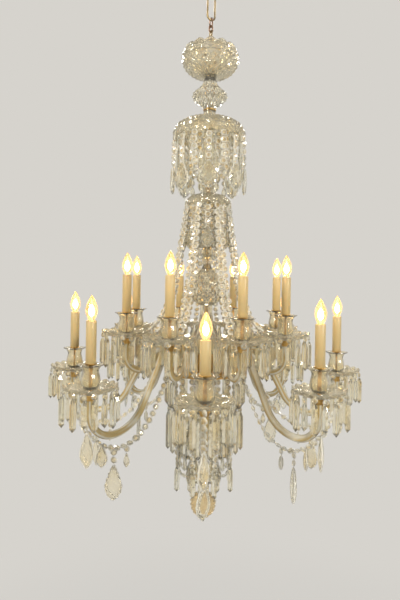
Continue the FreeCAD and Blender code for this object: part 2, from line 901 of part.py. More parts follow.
def makeNodes():
    nodes = {
        "hanging_link": hangingLink(),
        "upper_chain_link": upperChainLink(),
        "lower_chain_link": lowerChainLink(),
        "stem_rod": stemRod(),
        "top_globe": topGlobe(),
        "spindle_ball": spindleBall(),
        "spindle_collar": spindleCollar(),
        "top_canopy": topCanopy(),
        "upper_stem_tube": upperStemTube(),
        "middle_canopy": middleCanopy(),
        "lower_stem_tube": lowerStemTube(),
        "baluster": baluster(),
        "trumpet": trumpet(),
        "receiver_plate": receiverPlate(),
        "stem_spacers": stemSpacers(),
        "receiver_bowl": receiverBowl(),
        "lower_dish": lowerDish(),
        "tail_bowl": tailBowl(),
        "arm_root_cups": rootCups(),
        "arm_cups": onLowerTier(armCup()) + onUpperTier(armCup()),
        "lower_drip_pans": onLowerTier(dripPan()),
        "upper_drip_pans": onUpperTier(dripPan()),
        "lower_nozzles": onLowerTier(nozzle()),
        "upper_nozzles": onUpperTier(nozzle()),
        "candle_galleries": onLowerTier(gallery()) + onUpperTier(gallery()),
        "lower_candle_tubes": onLowerCandles(candleTube),
        "upper_candle_tubes": onUpperTier(candleTube()),
        "lower_bulbs": onLowerCandles(bulb),
        "upper_bulbs": onUpperTier(bulb()),
        "lower_pan_prisms": onLowerTier(*panPrisms()),
        "upper_pan_prisms": onUpperTier(*panPrisms()),
        "top_bead_strings": topBeadStrings(),
        "top_pendalogues": topPendalogues(),
        "middle_bead_strings": middleBeadStrings(),
        "middle_pendalogues": middlePendalogues(),
        "tent_strings": tentStrings(),
        "arm_swags": armSwags(),
        "small_swag_drops": smallSwagDrops(),
        "basket_strings": basketStrings(),
        "bowl_prisms": bowlPrisms(),
        "dish_prisms": dishPrisms(),
        "finial_drop": finial(),
    }
    lowerArm = tubeAlong(lowerArmPoints(), armRadius, armSides)
    upperArm = tubeAlong(upperArmPoints(), armRadius, armSides)
    for i, azimuth in enumerate(lowerAzimuths):
        nodes["lower_arm_%d" % (i + 1)] = [standing(lowerArm, 0.0, azimuth)]
        nodes["arm_pendalogue_%d" % (i + 1)] = armPendalogue(azimuth)
    nodes["upper_arms"] = [standing(upperArm, 0.0, a) for a in upperAzimuths]
    return nodes


def main():
    os.makedirs("parts", exist_ok=True)
    for name, solids in makeNodes().items():
        shape = solids[0] if len(solids) == 1 else Part.makeCompound(solids)
        shape.exportStep("parts/%s.step" % name)


main()
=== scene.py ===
import math
import random

import bmesh
import bpy
from mathutils import Matrix, Quaternion, Vector


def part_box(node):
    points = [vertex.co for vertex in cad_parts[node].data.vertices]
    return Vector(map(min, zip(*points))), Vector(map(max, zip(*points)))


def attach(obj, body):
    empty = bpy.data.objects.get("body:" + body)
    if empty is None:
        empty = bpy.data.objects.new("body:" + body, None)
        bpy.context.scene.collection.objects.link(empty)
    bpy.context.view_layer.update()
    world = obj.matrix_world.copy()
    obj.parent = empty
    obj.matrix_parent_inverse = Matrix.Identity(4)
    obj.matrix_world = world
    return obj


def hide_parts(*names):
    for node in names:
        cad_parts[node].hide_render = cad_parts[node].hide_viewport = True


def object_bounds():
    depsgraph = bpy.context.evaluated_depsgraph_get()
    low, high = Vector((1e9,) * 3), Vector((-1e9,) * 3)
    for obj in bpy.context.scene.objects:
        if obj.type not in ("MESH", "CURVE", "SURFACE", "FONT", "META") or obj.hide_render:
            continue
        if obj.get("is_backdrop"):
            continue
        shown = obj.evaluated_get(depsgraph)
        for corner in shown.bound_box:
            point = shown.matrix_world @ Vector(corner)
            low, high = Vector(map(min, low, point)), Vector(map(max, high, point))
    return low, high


# Crystal chandelier: cut lead glass on a brass stem, with two tiers of eight candle lights.
# Sizes in the dictionaries are in millimetres and become metres when a mesh is made.

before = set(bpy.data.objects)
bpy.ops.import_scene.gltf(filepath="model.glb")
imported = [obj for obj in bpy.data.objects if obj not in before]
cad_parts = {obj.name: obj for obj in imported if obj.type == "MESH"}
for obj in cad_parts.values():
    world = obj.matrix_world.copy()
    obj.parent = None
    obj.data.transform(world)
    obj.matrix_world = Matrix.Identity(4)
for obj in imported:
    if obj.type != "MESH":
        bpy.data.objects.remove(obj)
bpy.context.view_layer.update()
mm = 0.001
random.seed(11)
scene = bpy.context.scene


def addObject(name, data):
    made = bpy.data.objects.new(name, data)
    scene.collection.objects.link(made)
    return made


def hexColour(text):
    parts = [int(text[i:i + 2], 16) / 255.0 for i in (1, 3, 5)]
    linear = [c / 12.92 if c <= 0.04045 else ((c + 0.055) / 1.055) ** 2.4 for c in parts]
    return (*linear, 1.0)


def feed(node, links):
    # a source is a socket, or a node whose first output is meant
    for socket, source in dict(links).items():
        if isinstance(source, bpy.types.Node):
            source = source.outputs[0]
        node.id_data.links.new(source, node.inputs[socket])


def addNode(tree, kind, values=(), links=(), **settings):
    node = tree.nodes.new(kind)
    for name, value in settings.items():
        setattr(node, name, value)
    for socket, value in dict(values).items():
        node.inputs[socket].default_value = value
    feed(node, links)
    return node


def pattern(size, detail=2.0):
    # a noise with marks of this many millimetres
    return {"Scale": 1.0 / (size * mm), "Detail": detail}


def tones(pale, deep):
    return {6: hexColour(pale), 7: hexColour(deep)}


def relief(strength, depth):
    # a bump this many millimetres deep
    return {"Strength": strength, "Distance": depth * mm}


def newMaterial(name, values):
    # the material, its tree and shader, and the place on the object that patterns read
    material = bpy.data.materials.new(name)
    material.use_nodes = True
    tree = material.node_tree
    shader = tree.nodes["Principled BSDF"]
    for socket, value in values.items():
        shader.inputs[socket].default_value = value
    return material, tree, shader, addNode(tree, "ShaderNodeTexCoord").outputs["Object"]


# Camera, floor and light

cameraView = {
    "place": (0.0, -1.494, -0.890),
    "lens": 28.9,         # mm, on a 36 mm sensor along the picture's long side
    "roll": -0.96,        # degrees
    "shiftX": -0.0113,    # shares of the long side
    "shiftY": -0.035,
}

studio = {
    "floorZ": -3.1,
    "floorSize": 60.0,
    "floorColour": "#D0D2D4",
    "skyColour": "#D6D3CD",
    "overhead": "#554F47",      # what glass and metal find overhead, so that their cuts show
    "overheadRise": (0.25, 0.8),
    "skyLight": 0.56,
    "shadowReach": (0.4, 2.8),  # metres from the axis over which the floor fades to the sky
    "lamps": [                  # place, aim, size, watts, colour
        ((-1.9, -2.5, 0.6), (0, 0, -0.8), 0.7, 74.0, "#FFF4E2"),
        ((2.2, -2.2, -0.2), (0, 0, -1.0), 0.6, 46.0, "#FFFAF0"),
        ((-1.6, 1.9, 1.5), (0, 0, -0.9), 0.8, 52.0, "#FFFFFF"),
        ((1.7, 1.8, 1.4), (0, 0, -0.9), 0.8, 52.0, "#FFF8EE"),
    ],
}


def makeCamera():
    data = bpy.data.cameras.new("camera")
    data.sensor_width = 36.0
    data.lens = cameraView["lens"]
    data.shift_x = cameraView["shiftX"]
    data.shift_y = cameraView["shiftY"]
    camera = addObject("camera", data)
    camera.location = cameraView["place"]
    camera.rotation_euler = (math.radians(90.0), math.radians(cameraView["roll"]), 0.0)
    scene.camera = camera


def seenRays(tree):
    # 1 for rays from the camera and for those bent or mirrored by the object
    path = addNode(tree, "ShaderNodeLightPath")
    seen = path.outputs["Is Camera Ray"]
    for kind in ("Is Glossy Ray", "Is Transmission Ray"):
        seen = addNode(tree, "ShaderNodeMath", links={0: seen, 1: path.outputs[kind]},
                       operation="MAXIMUM")
    return path, seen


def makeFloor():
    half, z = studio["floorSize"] / 2.0, studio["floorZ"]
    mesh = bpy.data.meshes.new("floor")
    mesh.from_pydata([(-half, -half, z), (half, -half, z), (half, half, z), (-half, half, z)],
                     [], [(0, 1, 2, 3)])
    material, tree, paper, place = newMaterial("matt studio paper", {
        "Base Color": hexColour(studio["floorColour"]), "Roughness": 0.9})
    near, far = studio["shadowReach"]
    level = addNode(tree, "ShaderNodeVectorMath", {1: (1.0, 1.0, 0.0)}, {0: place},
                    operation="MULTIPLY")
    reach = addNode(tree, "ShaderNodeVectorMath", links={0: level}, operation="LENGTH")
    fade = addNode(tree, "ShaderNodeMapRange", {1: near, 2: far}, {0: reach.outputs["Value"]},
                   interpolation_type="SMOOTHSTEP")
    share = addNode(tree, "ShaderNodeMath", links={0: fade, 1: seenRays(tree)[1]},
                    operation="MULTIPLY")
    sky = addNode(tree, "ShaderNodeEmission", {"Color": hexColour(studio["skyColour"])})
    both = addNode(tree, "ShaderNodeMixShader", links={0: share, 1: paper, 2: sky})
    feed(tree.nodes["Material Output"], {"Surface": both})
    mesh.materials.append(material)
    addObject("floor", mesh)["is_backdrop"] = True


def makeLamps():
    for place, aim, size, watts, colour in studio["lamps"]:
        data = bpy.data.lights.new("softbox", "AREA")
        data.size = size
        data.energy = watts
        data.color = hexColour(colour)[:3]
        lamp = addObject("softbox", data)
        lamp.location = place
        lamp.rotation_euler = (Vector(aim) - Vector(place)).to_track_quat("-Z", "Y").to_euler()
        lamp.visible_camera = False


def makeWorld():
    # the camera sees one pale tone; glass and metal also find a darker patch overhead
    world = bpy.data.worlds.new("pale studio")
    scene.world = world
    world.use_nodes = True
    tree = world.node_tree
    tree.nodes.clear()
    low, high = studio["overheadRise"]
    path, seen = seenRays(tree)
    place = addNode(tree, "ShaderNodeTexCoord")
    split = addNode(tree, "ShaderNodeSeparateXYZ", links={0: place.outputs["Generated"]})
    height = addNode(tree, "ShaderNodeMapRange", {1: low, 2: high}, {0: split.outputs["Z"]})
    bent = addNode(tree, "ShaderNodeMath", {0: 1.0}, {1: path.outputs["Is Camera Ray"]},
                   operation="SUBTRACT")
    share = addNode(tree, "ShaderNodeMath", links={0: height, 1: bent}, operation="MULTIPLY")
    sky = addNode(tree, "ShaderNodeMix", tones(studio["skyColour"], studio["overhead"]),
                  {0: share}, data_type="RGBA")
    show = addNode(tree, "ShaderNodeBackground", {"Strength": 1.0}, {"Color": sky.outputs[2]})
    lit = addNode(tree, "ShaderNodeBackground", {"Color": hexColour(studio["skyColour"]),
                                                 "Strength": studio["skyLight"]})
    both = addNode(tree, "ShaderNodeMixShader", links={0: seen, 1: lit, 2: show})
    addNode(tree, "ShaderNodeOutputWorld", links={"Surface": both})
    scene.view_settings.view_transform = "Standard"


makeCamera()
makeFloor()
makeLamps()
makeWorld()
print("camera, floor and lights are in place")


# Materials

glassLook = {   # pale and deep tint, share let through, roughness, clouds and hobnails in mm
    "cut lead crystal": ("#FFFDF0", "#F9EAC4", 0.90, 0.012, 55.0, 0.0),
    "deep cut pan crystal": ("#FFFCEC", "#F9E6B8", 0.83, 0.012, 25.0, 0.0),
    "hobnail cut crystal": ("#FFFCEC", "#F9E6B8", 0.83, 0.012, 25.0, 9.0),
    "pressed crystal octagons": ("#FFFBEA", "#F2D898", 0.78, 0.012, 55.0, 0.0),
    "clear blown glass": ("#FFFCEE", "#F8EAC8", 0.92, 0.015, 40.0, 0.0),
    "amber cut crystal": ("#F6E2B4", "#DDBB7C", 0.72, 0.02, 30.0, 0.0),
}
# edge and edgeClear: the whiter, less clear girdle, finely ground and also a painted highlight
# on the outline
glassCut = {"wave": 9.0, "waveDepth": 0.3, "hobnailDepth": 1.4, "edge": "#FFFFFA",
            "edgeClear": 0.35}
armGlassLook = {"pale": "#FFFDF0", "deep": "#D8BF80", "clear": 0.5, "rough": 0.02,
                "cloud": 70.0, "ridge": 0.6}
metalWear = {"patch": 18.0, "brushed": 0.08, "scratch": 0.1, "dulled": 0.18}
cardLook = {"pale": "#DCC795", "deep": "#C4A870", "fibre": 1.6, "stain": 60.0, "relief": 0.15}
lampLook = {"glass": "#FFECC8", "halo": "#FFB45A", "haloStrength": 0.28, "seeds": 3.0,
            "hot": "#FFE7B8", "glow": "#FFDFA0", "glowStrength": 26.0, "turns": 4.0}


def glassMaterial(name, pale, deep, clear, rough, cloudSize, hobnail):
    # Lead crystal, cut and acid polished: clear, with a warm cast that changes from piece
    # to piece and slow waves left by the wheel, which break the light up into sparks. The
    # edge is whiter and lets less through: partly a finely ground girdle, partly a painted
    # highlight that draws each drop's outline.
    material, tree, shader, place = newMaterial(name, {"Roughness": rough, "IOR": 1.545})
    cloud = addNode(tree, "ShaderNodeTexNoise", pattern(cloudSize, 3.0), {"Vector": place})
    spread = addNode(tree, "ShaderNodeMapRange", {1: 0.35, 2: 0.7, 3: 0.0, 4: 0.55},
                     {0: cloud})
    own = addNode(tree, "ShaderNodeAttribute", attribute_name="tint").outputs["Fac"]
    share = addNode(tree, "ShaderNodeMath", links={0: spread, 1: own}, operation="ADD",
                    use_clamp=True)
    colour = addNode(tree, "ShaderNodeMix", tones(pale, deep), {0: share}, data_type="RGBA")
    wave = addNode(tree, "ShaderNodeTexNoise", pattern(glassCut["wave"]), {"Vector": place})
    bump = addNode(tree, "ShaderNodeBump", relief(0.25, glassCut["waveDepth"]),
                   {"Height": wave})
    if hobnail:
        # small points between the deep cuts, each a few millimetres across
        points = addNode(tree, "ShaderNodeTexVoronoi", pattern(hobnail, 0.0),
                         {"Vector": place}, distance="MANHATTAN")
        bump = addNode(tree, "ShaderNodeBump", relief(0.3, glassCut["hobnailDepth"]),
                       {"Height": points, "Normal": bump})
    # painted highlight: the ground edge is turned whiter and less clear, so each outline reads
    # as lit
    edge = addNode(tree, "ShaderNodeAttribute", attribute_name="rim").outputs["Fac"]
    tinted = addNode(tree, "ShaderNodeMix", {7: hexColour(glassCut["edge"])},
                     {0: edge, 6: colour.outputs[2]}, data_type="RGBA")
    through = addNode(tree, "ShaderNodeMapRange", {3: clear, 4: glassCut["edgeClear"]},
                      {0: edge})
    feed(shader, {"Base Color": tinted.outputs[2], "Transmission Weight": through,
                  "Normal": bump})
    return material


def armGlassMaterial():
    # Drawn and bent cream glass: streaks run along the tube from the drawing, and the
    # warm core shows through as bands.
    look = armGlassLook
    material, tree, shader, place = newMaterial("drawn cream glass", {
        "Roughness": look["rough"], "IOR": 1.52, "Transmission Weight": look["clear"]})
    streak = addNode(tree, "ShaderNodeAttribute", attribute_name="streak").outputs["Fac"]
    cloud = addNode(tree, "ShaderNodeTexNoise", pattern(look["cloud"]), {"Vector": place})
    share = addNode(tree, "ShaderNodeMath", links={0: streak, 1: cloud}, operation="MULTIPLY")
    shown = addNode(tree, "ShaderNodeMapRange", {1: 0.22, 2: 0.42}, {0: share})
    colour = addNode(tree, "ShaderNodeMix", tones(look["pale"], look["deep"]), {0: shown},
                     data_type="RGBA")
    bump = addNode(tree, "ShaderNodeBump", relief(0.4, look["ridge"]), {"Height": streak})
    feed(shader, {"Base Color": colour.outputs[2], "Normal": bump})
    return material


def metalMaterial(name, pale, deep, rough, grain):
    # Lacquered brass or drawn steel: fine brush marks, with darker tarnish in patches.
    material, tree, shader, place = newMaterial(name, {"Metallic": 1.0})
    patch = addNode(tree, "ShaderNodeTexNoise", pattern(metalWear["patch"], 5.0),
                    {"Vector": place})
    stretch = addNode(tree, "ShaderNodeMapping", {"Scale": (1.0, 1.0, metalWear["brushed"])},
                      {"Vector": place})
    fine = addNode(tree, "ShaderNodeTexNoise", pattern(grain), {"Vector": stretch})
    tarnish = addNode(tree, "ShaderNodeMapRange", {1: 0.4, 2: 0.72}, {0: patch})
    colour = addNode(tree, "ShaderNodeMix", tones(pale, deep), {0: tarnish},
                     data_type="RGBA")
    polish = addNode(tree, "ShaderNodeMapRange",
                     {1: 0.3, 2: 0.7, 3: rough, 4: rough + metalWear["dulled"]}, {0: fine})
    bump = addNode(tree, "ShaderNodeBump", relief(0.15, metalWear["scratch"]),
                   {"Height": fine})
    feed(shader, {"Base Color": colour.outputs[2], "Roughness": polish, "Normal": bump})
    return material


def cardMaterial():
    # Candle sleeves of waxed card: soft ivory that varies slowly, with a faint lengthwise
    # fibre and a satin surface.
    look = cardLook
    material, tree, shader, place = newMaterial("waxed ivory card", {
        "Roughness": 0.42, "Subsurface Weight": 0.15, "Subsurface Scale": 4.0 * mm,
        "Subsurface Radius": (1.0, 0.6, 0.3), "Coat Weight": 0.12, "Coat Roughness": 0.3})
    stretch = addNode(tree, "ShaderNodeMapping", {"Scale": (1.0, 1.0, 0.06)},
                      {"Vector": place})
    fibre = addNode(tree, "ShaderNodeTexNoise", pattern(look["fibre"], 4.0),
                    {"Vector": stretch})
    stain = addNode(tree, "ShaderNodeTexNoise", pattern(look["stain"], 3.0),
                    {"Vector": place})
    mixed = addNode(tree, "ShaderNodeMath", {2: 0.15}, {0: fibre, 1: stain},
                    operation="MULTIPLY_ADD")
    colour = addNode(tree, "ShaderNodeMix", tones(look["pale"], look["deep"]), {0: mixed},
                     data_type="RGBA")
    bump = addNode(tree, "ShaderNodeBump", relief(0.2, look["relief"]), {"Height": fibre})
    feed(shader, {"Base Color": colour.outputs[2], "Normal": bump})
    return material


def bulbMaterial():
    # Blown lamp glass, clear with an amber cast from the light inside; faint seeds in it.
    material, tree, shader, place = newMaterial("blown lamp glass", {
        "Base Color": hexColour(lampLook["glass"]), "IOR": 1.45, "Transmission Weight": 0.9,
        "Emission Color": hexColour(lampLook["halo"]),
        "Emission Strength": lampLook["haloStrength"]})
    seeds = addNode(tree, "ShaderNodeTexNoise", pattern(lampLook["seeds"]),
                    {"Vector": place})
    polish = addNode(tree, "ShaderNodeMapRange", {3: 0.02, 4: 0.09}, {0: seeds})
    feed(shader, {"Roughness": polish})
    return material


def filamentMaterial():
    # The glow of a tungsten coil, uneven along it as the coil's turns are.
    material, tree, shader, place = newMaterial("glowing tungsten", {
        "Base Color": hexColour(lampLook["hot"]), "Roughness": 0.5,
        "Emission Color": hexColour(lampLook["glow"])})
    turns = addNode(tree, "ShaderNodeTexNoise", pattern(lampLook["turns"]),
                    {"Vector": place})
    strength = lampLook["glowStrength"]
    heat = addNode(tree, "ShaderNodeMapRange", {3: 0.7 * strength, 4: 1.3 * strength},
                   {0: turns})
    feed(shader, {"Emission Strength": heat})
    return material


crystal, panCrystal, domeCrystal, beadCrystal, blownGlass, amberCrystal = [
    glassMaterial(name, *look) for name, look in glassLook.items()]
bentGlass = armGlassMaterial()
brass = metalMaterial("aged lacquered brass", "#D8B26C", "#8C6A38", 0.26, 1.2)
steel = metalMaterial("bronzed steel wire", "#A8946A", "#5E5038", 0.28, 0.8)
darkBrass = metalMaterial("dark brass links", "#94745A", "#4E382C", 0.3, 0.9)
card = cardMaterial()
lampGlass = bulbMaterial()
tungsten = filamentMaterial()
print("materials are made")


# Reading where the frame's pieces hang

weld = 0.005   # corners nearer than this are one
beadForm = {"pitch": 20.2, "width": 17.4, "length": 17.4, "thickness": 8.9, "table": 0.42,
            "pin": 0.55, "pinSpan": (0.40, 0.53), "twist": 24.0, "dropTwist": 30.0,
            "halfTurned": ("arm_swags",)}
prismForm = {"button": 15.5, "buttonDepth": 8.0, "buttonLow": 0.3, "gap": 2.4, "width": 14.0,
             "top": 0.45, "shoulder": 0.8, "point": 0.7, "tip": 0.1, "bevel": 0.2,
             "twist": 14.0}
whole = (1.0, 1.0, 1.0)   # a piece at its own size


def upBy(z):
    return Vector((0.0, 0.0, z))


def outward(azimuth, radius=1.0, z=0.0):
    # a place round the axis; azimuths count from the front towards +X
    a = math.radians(azimuth)
    return Vector((math.sin(a), -math.cos(a), 0.0)) * radius + upBy(z)


def cadSolids(node):
    # the corners of each solid of a node, in millimetres
    work = bmesh.new()
    work.from_mesh(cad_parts[node].data)
    bmesh.ops.remove_doubles(work, verts=work.verts, dist=2.0 * weld * mm)
    seen = set()
    solids = []
    for start in work.verts:
        if start in seen:
            continue
        seen.add(start)
        found = [start]
        for vert in found:
            for edge in vert.link_edges:
                other = edge.other_vert(vert)
                if other not in seen:
                    seen.add(other)
                    found.append(other)
        solids.append([v.co / mm for v in found])
    work.free()
    return solids


def farthest(points):
    pairs = [(a, b) for i, a in enumerate(points) for b in points[i + 1:]]
    return max(pairs, key=lambda pair: (pair[0] - pair[1]).length)


def turnFrom(x, y, z):
    return Matrix((x, y, z)).transposed().to_quaternion()


def levelTurn(direction):
    # a turn about the upright that takes +X to this level direction
    x = Vector((direction[0], direction[1], 0.0)).normalized()
    return turnFrom(x, upBy(1.0).cross(x), upBy(1.0))


def spun(turn, most):
    # the same turn with a chance twist about the piece's own length
    return turn @ Quaternion((0.0, 0.0, 1.0), math.radians(random.uniform(-most, most)))


def beadBetween(low, high, wide):
    # a bead from one knot to the next, as wide as the third direction shows
    along = (high - low).normalized()
    side = (wide - along * wide.dot(along)).normalized()
    turn = turnFrom(side.cross(along), side, along)
    return {"at": (low + high) / 2.0, "turn": spun(turn, beadForm["twist"]),
            "size": (1.0, 1.0, (high - low).length / beadForm["pitch"])}


def beadSpots(node):
    # beads turn freely on their pins: those of a swag stand half on edge
    spots = []
    for points in cadSolids(node):
        if len(points) == 5:
            low, high = farthest(points)
            a, b = farthest([p for p in points if p not in (low, high)])
            wide = (b - a).normalized()
            if node in beadForm["halfTurned"]:
                wide += wide.cross((high - low).normalized())
            spots.append(beadBetween(low, high, wide))
    return spots


def prismSpots(node):
    spots = []
    for points in cadSolids(node):
        hook = max(points, key=lambda p: p.z)
        foot = min(points, key=lambda p: p.z)
        spots.append({"at": hook, "turn": spun(levelTurn(foot - hook), prismForm["twist"]),
                      "size": whole, "length": hook.z - foot.z})
    return spots


def dropSpots(node):
    # a pendalogue's flat faces meet in two points at 0.6 of its length, and its girdle is
    # widest at 0.62
    spots = []
    for points in cadSolids(node):
        if len(points) != 10:
            continue
        hook = max(points, key=lambda p: p.z)
        length = hook.z - min(p.z for p in points)
        bellies, sides = [[p for p in points if abs(hook.z - p.z - t * length) < 0.01 * length]
                          for t in (0.6, 0.62)]
        across = bellies[1] - bellies[0]
        spots.append({"at": hook, "turn": levelTurn(across),
                      "size": (across.length, (sides[1] - sides[0]).length, length)})
    return spots


def lightSpots(node):
    spots = []
    for points in cadSolids(node):
        middle = sum(points, Vector()) / len(points)
        foot = min(p.z for p in points)
        spots.append({"at": Vector((middle.x, middle.y, foot)), "turn": levelTurn(middle),
                      "size": whole, "high": max(p.z for p in points) - foot})
    return spots


def ringSpots(look, twist=0.0):
    # spots round the axis, facing outwards
    spots = []
    for i in range(look["count"]):
        azimuth = look.get("start", 0.0) + 360.0 * i / look["count"]
        spots.append({"at": outward(azimuth, look["radius"], look["z"]),
                      "turn": spun(levelTurn(outward(azimuth)), twist),
                      "size": look.get("size", whole)})
    return spots


def plumbBeads(spots, count):
    # beads hung straight down from each spot, and the spots where they end
    pitch = beadForm["pitch"]
    beads, ends = [], []
    for spot in spots:
        wide = spot["turn"] @ Vector((0.0, 1.0, 0.0))
        for i in range(count):
            high = spot["at"] - upBy(i * pitch)
            beads.append(beadBetween(high - upBy(pitch), high, wide))
        ends.append(dict(spot, at=spot["at"] - upBy(count * pitch)))
    return beads, ends


def hungBeads(start, end, slack, steps=80):
    # beads on a hanging line whose length is slack times the straight way
    def lengths(sag):
        line = [start.lerp(end, t) - upBy(4.0 * sag * t * (1.0 - t))
                for t in (k / steps for k in range(steps + 1))]
        return line, [(b - a).length for a, b in zip(line, line[1:])]

    sag = 0.0
    while sum(lengths(sag)[1]) < slack * (end - start).length:
        sag += 1.0
    line, runs = lengths(sag)
    count = round(sum(runs) / beadForm["pitch"])
    knots, gone = [line[0]], 0.0
    for run, point in zip(runs, line[1:]):
        gone += run
        if gone >= len(knots) * sum(runs) / count - 0.01:
            knots.append(point)
    wide = (end - start).cross(upBy(1.0))
    return [beadBetween(b, a, wide) for a, b in zip(knots, knots[1:])]


# Making meshes

def loft(rings):
    # joins rings of corners and closes both ends; a ring of one corner is a tip
    verts = [p for ring in rings for p in ring]
    starts = [sum(len(r) for r in rings[:i]) for i in range(len(rings))]
    faces = []
    for i in range(len(rings) - 1):
        low, high = len(rings[i]), len(rings[i + 1])
        count = max(low, high)
        for k in range(count):
            n = (k + 1) % count
            face = [starts[i] + k % low, starts[i] + n % low, starts[i + 1] + n % high,
                    starts[i + 1] + k % high]
            faces.append(tuple(dict.fromkeys(face)))
    for i in (0, len(rings) - 1):
        if len(rings[i]) > 2:
            faces.append(tuple(range(starts[i], starts[i] + len(rings[i]))))
    return verts, faces


def smoothLine(points, steps):
    # a curve through the points, with this many steps between neighbours
    points = [Vector(p) for p in points]
    ends = points[:1] + points + points[-1:]
    line = []
    for before, a, b, after in zip(ends, ends[1:], ends[2:], ends[3:]):
        for s in range(steps):
            t = s / steps
            line.append(0.5 * (2 * a + (b - before) * t
                               + (2 * before - 5 * a + 4 * b - after) * t ** 2
                               + (3 * a - before - 3 * b + after) * t ** 3))
    return [tuple(p) for p in line + points[-1:]]


def revolve(rows, sides, lobes=1):
    # rows of (radius, height, diamond, flute, scallop): a diamond raises every second corner,
    # a flute hollows the surface between the lobes, and a scallop lifts the lobes' middles
    verts, faces = [], []
    for row, (radius, z, *extra) in enumerate(rows):
        diamond, flute, scallop = (extra + [0.0, 0.0, 0.0])[:3]
        for k in range(sides):
            lobe = abs(math.cos(math.pi * lobes * k / sides))
            r = radius + (diamond if (row + k) % 2 else 0.0) - flute * (1.0 - lobe)
            a = 2.0 * math.pi * k / sides
            verts.append((r * math.cos(a), r * math.sin(a), z + scallop * lobe))
        up = (row + 1) % len(rows)
        for k in range(sides):
            n = (k + 1) % sides
            a, b, c, d = row * sides + k, row * sides + n, up * sides + n, up * sides + k
            faces += [(a, b, c), (a, c, d)] if (row + k) % 2 == 0 else [(a, b, d), (b, c, d)]
    return verts, faces


def together(*parts):
    verts, faces = [], []
    for v, f in parts:
        faces += [tuple(i + len(verts) for i in face) for face in f]
        verts += v
    return verts, faces


def placeMesh(name, mesh, smooth, joined):
    # the object, with faces turned outwards and, if asked, corners that meet made one
    work = bmesh.new()
    work.from_mesh(mesh)
    if joined:
        bmesh.ops.remove_doubles(work, verts=work.verts, dist=weld * mm)
        bmesh.ops.dissolve_degenerate(work, edges=work.edges, dist=weld * mm)
    bmesh.ops.recalc_face_normals(work, faces=work.faces)
    work.to_mesh(mesh)
    work.free()
    for face in mesh.polygons:
        face.use_smooth = smooth
    return addObject(name, mesh)


def makeMesh(name, part, material=None, smooth=False, rim=None):
    verts, faces = part
    mesh = bpy.data.meshes.new(name)
    mesh.from_pydata([tuple(c * mm for c in v) for v in verts], [], faces)
    made = placeMesh(name, mesh, smooth, True)
    if rim:
        # the rim flag marks the edge that the glass whitens: a ground girdle and a painted
        # highlight
        edge = mesh.attributes.new("rim", "FLOAT", "POINT")
        edge.data.foreach_set("value", [float(abs(v.co.x) < rim * mm) for v in mesh.vertices])
    if material:
        mesh.materials.append(material)
    return made


def finishPiece(piece, body, slot, *nodes):
    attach(piece, body)
    if nodes:
        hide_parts(*nodes)


# Node trees: pieces hung on points, and tubes along lines

def startTree(name, wanted):
    # a tree, the identifiers of its inputs, and the inputs as its nodes find them
    tree = bpy.data.node_groups.new(name, "GeometryNodeTree")
    tree.interface.new_socket("Geometry", in_out="OUTPUT", socket_type="NodeSocketGeometry")
    keys = {label: tree.interface.new_socket(label, in_out="INPUT",
                                             socket_type="NodeSocket" + kind).identifier
            for label, kind in {"Geometry": "Geometry", "Material": "Material",
                                **wanted}.items()}
    return tree, keys, addNode(tree, "NodeGroupInput").outputs


def endTree(tree, given, shape):
    real = addNode(tree, "GeometryNodeRealizeInstances", links={0: shape})
    dressed = addNode(tree, "GeometryNodeSetMaterial", links={
        "Geometry": real, "Material": given["Material"]})
    addNode(tree, "NodeGroupOutput", links={0: dressed})


def makeHangTree():
    tree, keys, given = startTree("hang pieces on points", {"Piece": "Object"})
    shape = addNode(tree, "GeometryNodeObjectInfo", links={"Object": given["Piece"]})
    turn = addNode(tree, "GeometryNodeInputNamedAttribute", {"Name": "turn"},
                   data_type="QUATERNION")
    size = addNode(tree, "GeometryNodeInputNamedAttribute", {"Name": "size"},
                   data_type="FLOAT_VECTOR")
    hung = addNode(tree, "GeometryNodeInstanceOnPoints", links={
        "Points": given["Geometry"], "Instance": shape.outputs["Geometry"],
        "Rotation": turn, "Scale": size})
    endTree(tree, given, hung)
    return tree, keys


def makeTubeTree():
    tree, keys, given = startTree("tubes along lines", {
        "Radius": "Float", "Groove": "Float", "Ribs": "Int"})
    line = addNode(tree, "GeometryNodeMeshToCurve", links={0: given["Geometry"]})
    ring = addNode(tree, "GeometryNodeCurveStar", {"Twist": 0.0}, {
        "Points": given["Ribs"], "Inner Radius": given["Groove"],
        "Outer Radius": given["Radius"]})
    chance = addNode(tree, "FunctionNodeRandomValue", {"Seed": 3}, data_type="FLOAT")
    drawn = addNode(tree, "GeometryNodeStoreNamedAttribute", {"Name": "streak"}, {
        "Geometry": ring, "Value": chance.outputs[1]}, data_type="FLOAT")
    tube = addNode(tree, "GeometryNodeCurveToMesh", {"Fill Caps": True}, {
        "Curve": line, "Profile Curve": drawn})
    endTree(tree, given, tube)
    return tree, keys


hangTree = makeHangTree()
tubeTree = makeTubeTree()


def growMesh(name, base, grower, inputs, smooth):
    # the mesh that a tree grows from the base
    tree, keys = grower
    holder = addObject(name + "_holder", base)
    modifier = holder.modifiers.new("grow", "NODES")
    modifier.node_group = tree
    for label, value in inputs.items():
        modifier[keys[label]] = value
    depsgraph = bpy.context.evaluated_depsgraph_get()
    mesh = bpy.data.meshes.new_from_object(holder.evaluated_get(depsgraph), depsgraph=depsgraph)
    bpy.data.objects.remove(holder)
    mesh.name = name
    made = placeMesh(name, mesh, smooth, False)
    for extra in ("turn", "size"):
        if extra in mesh.attributes:
            mesh.attributes.remove(mesh.attributes[extra])
    return made


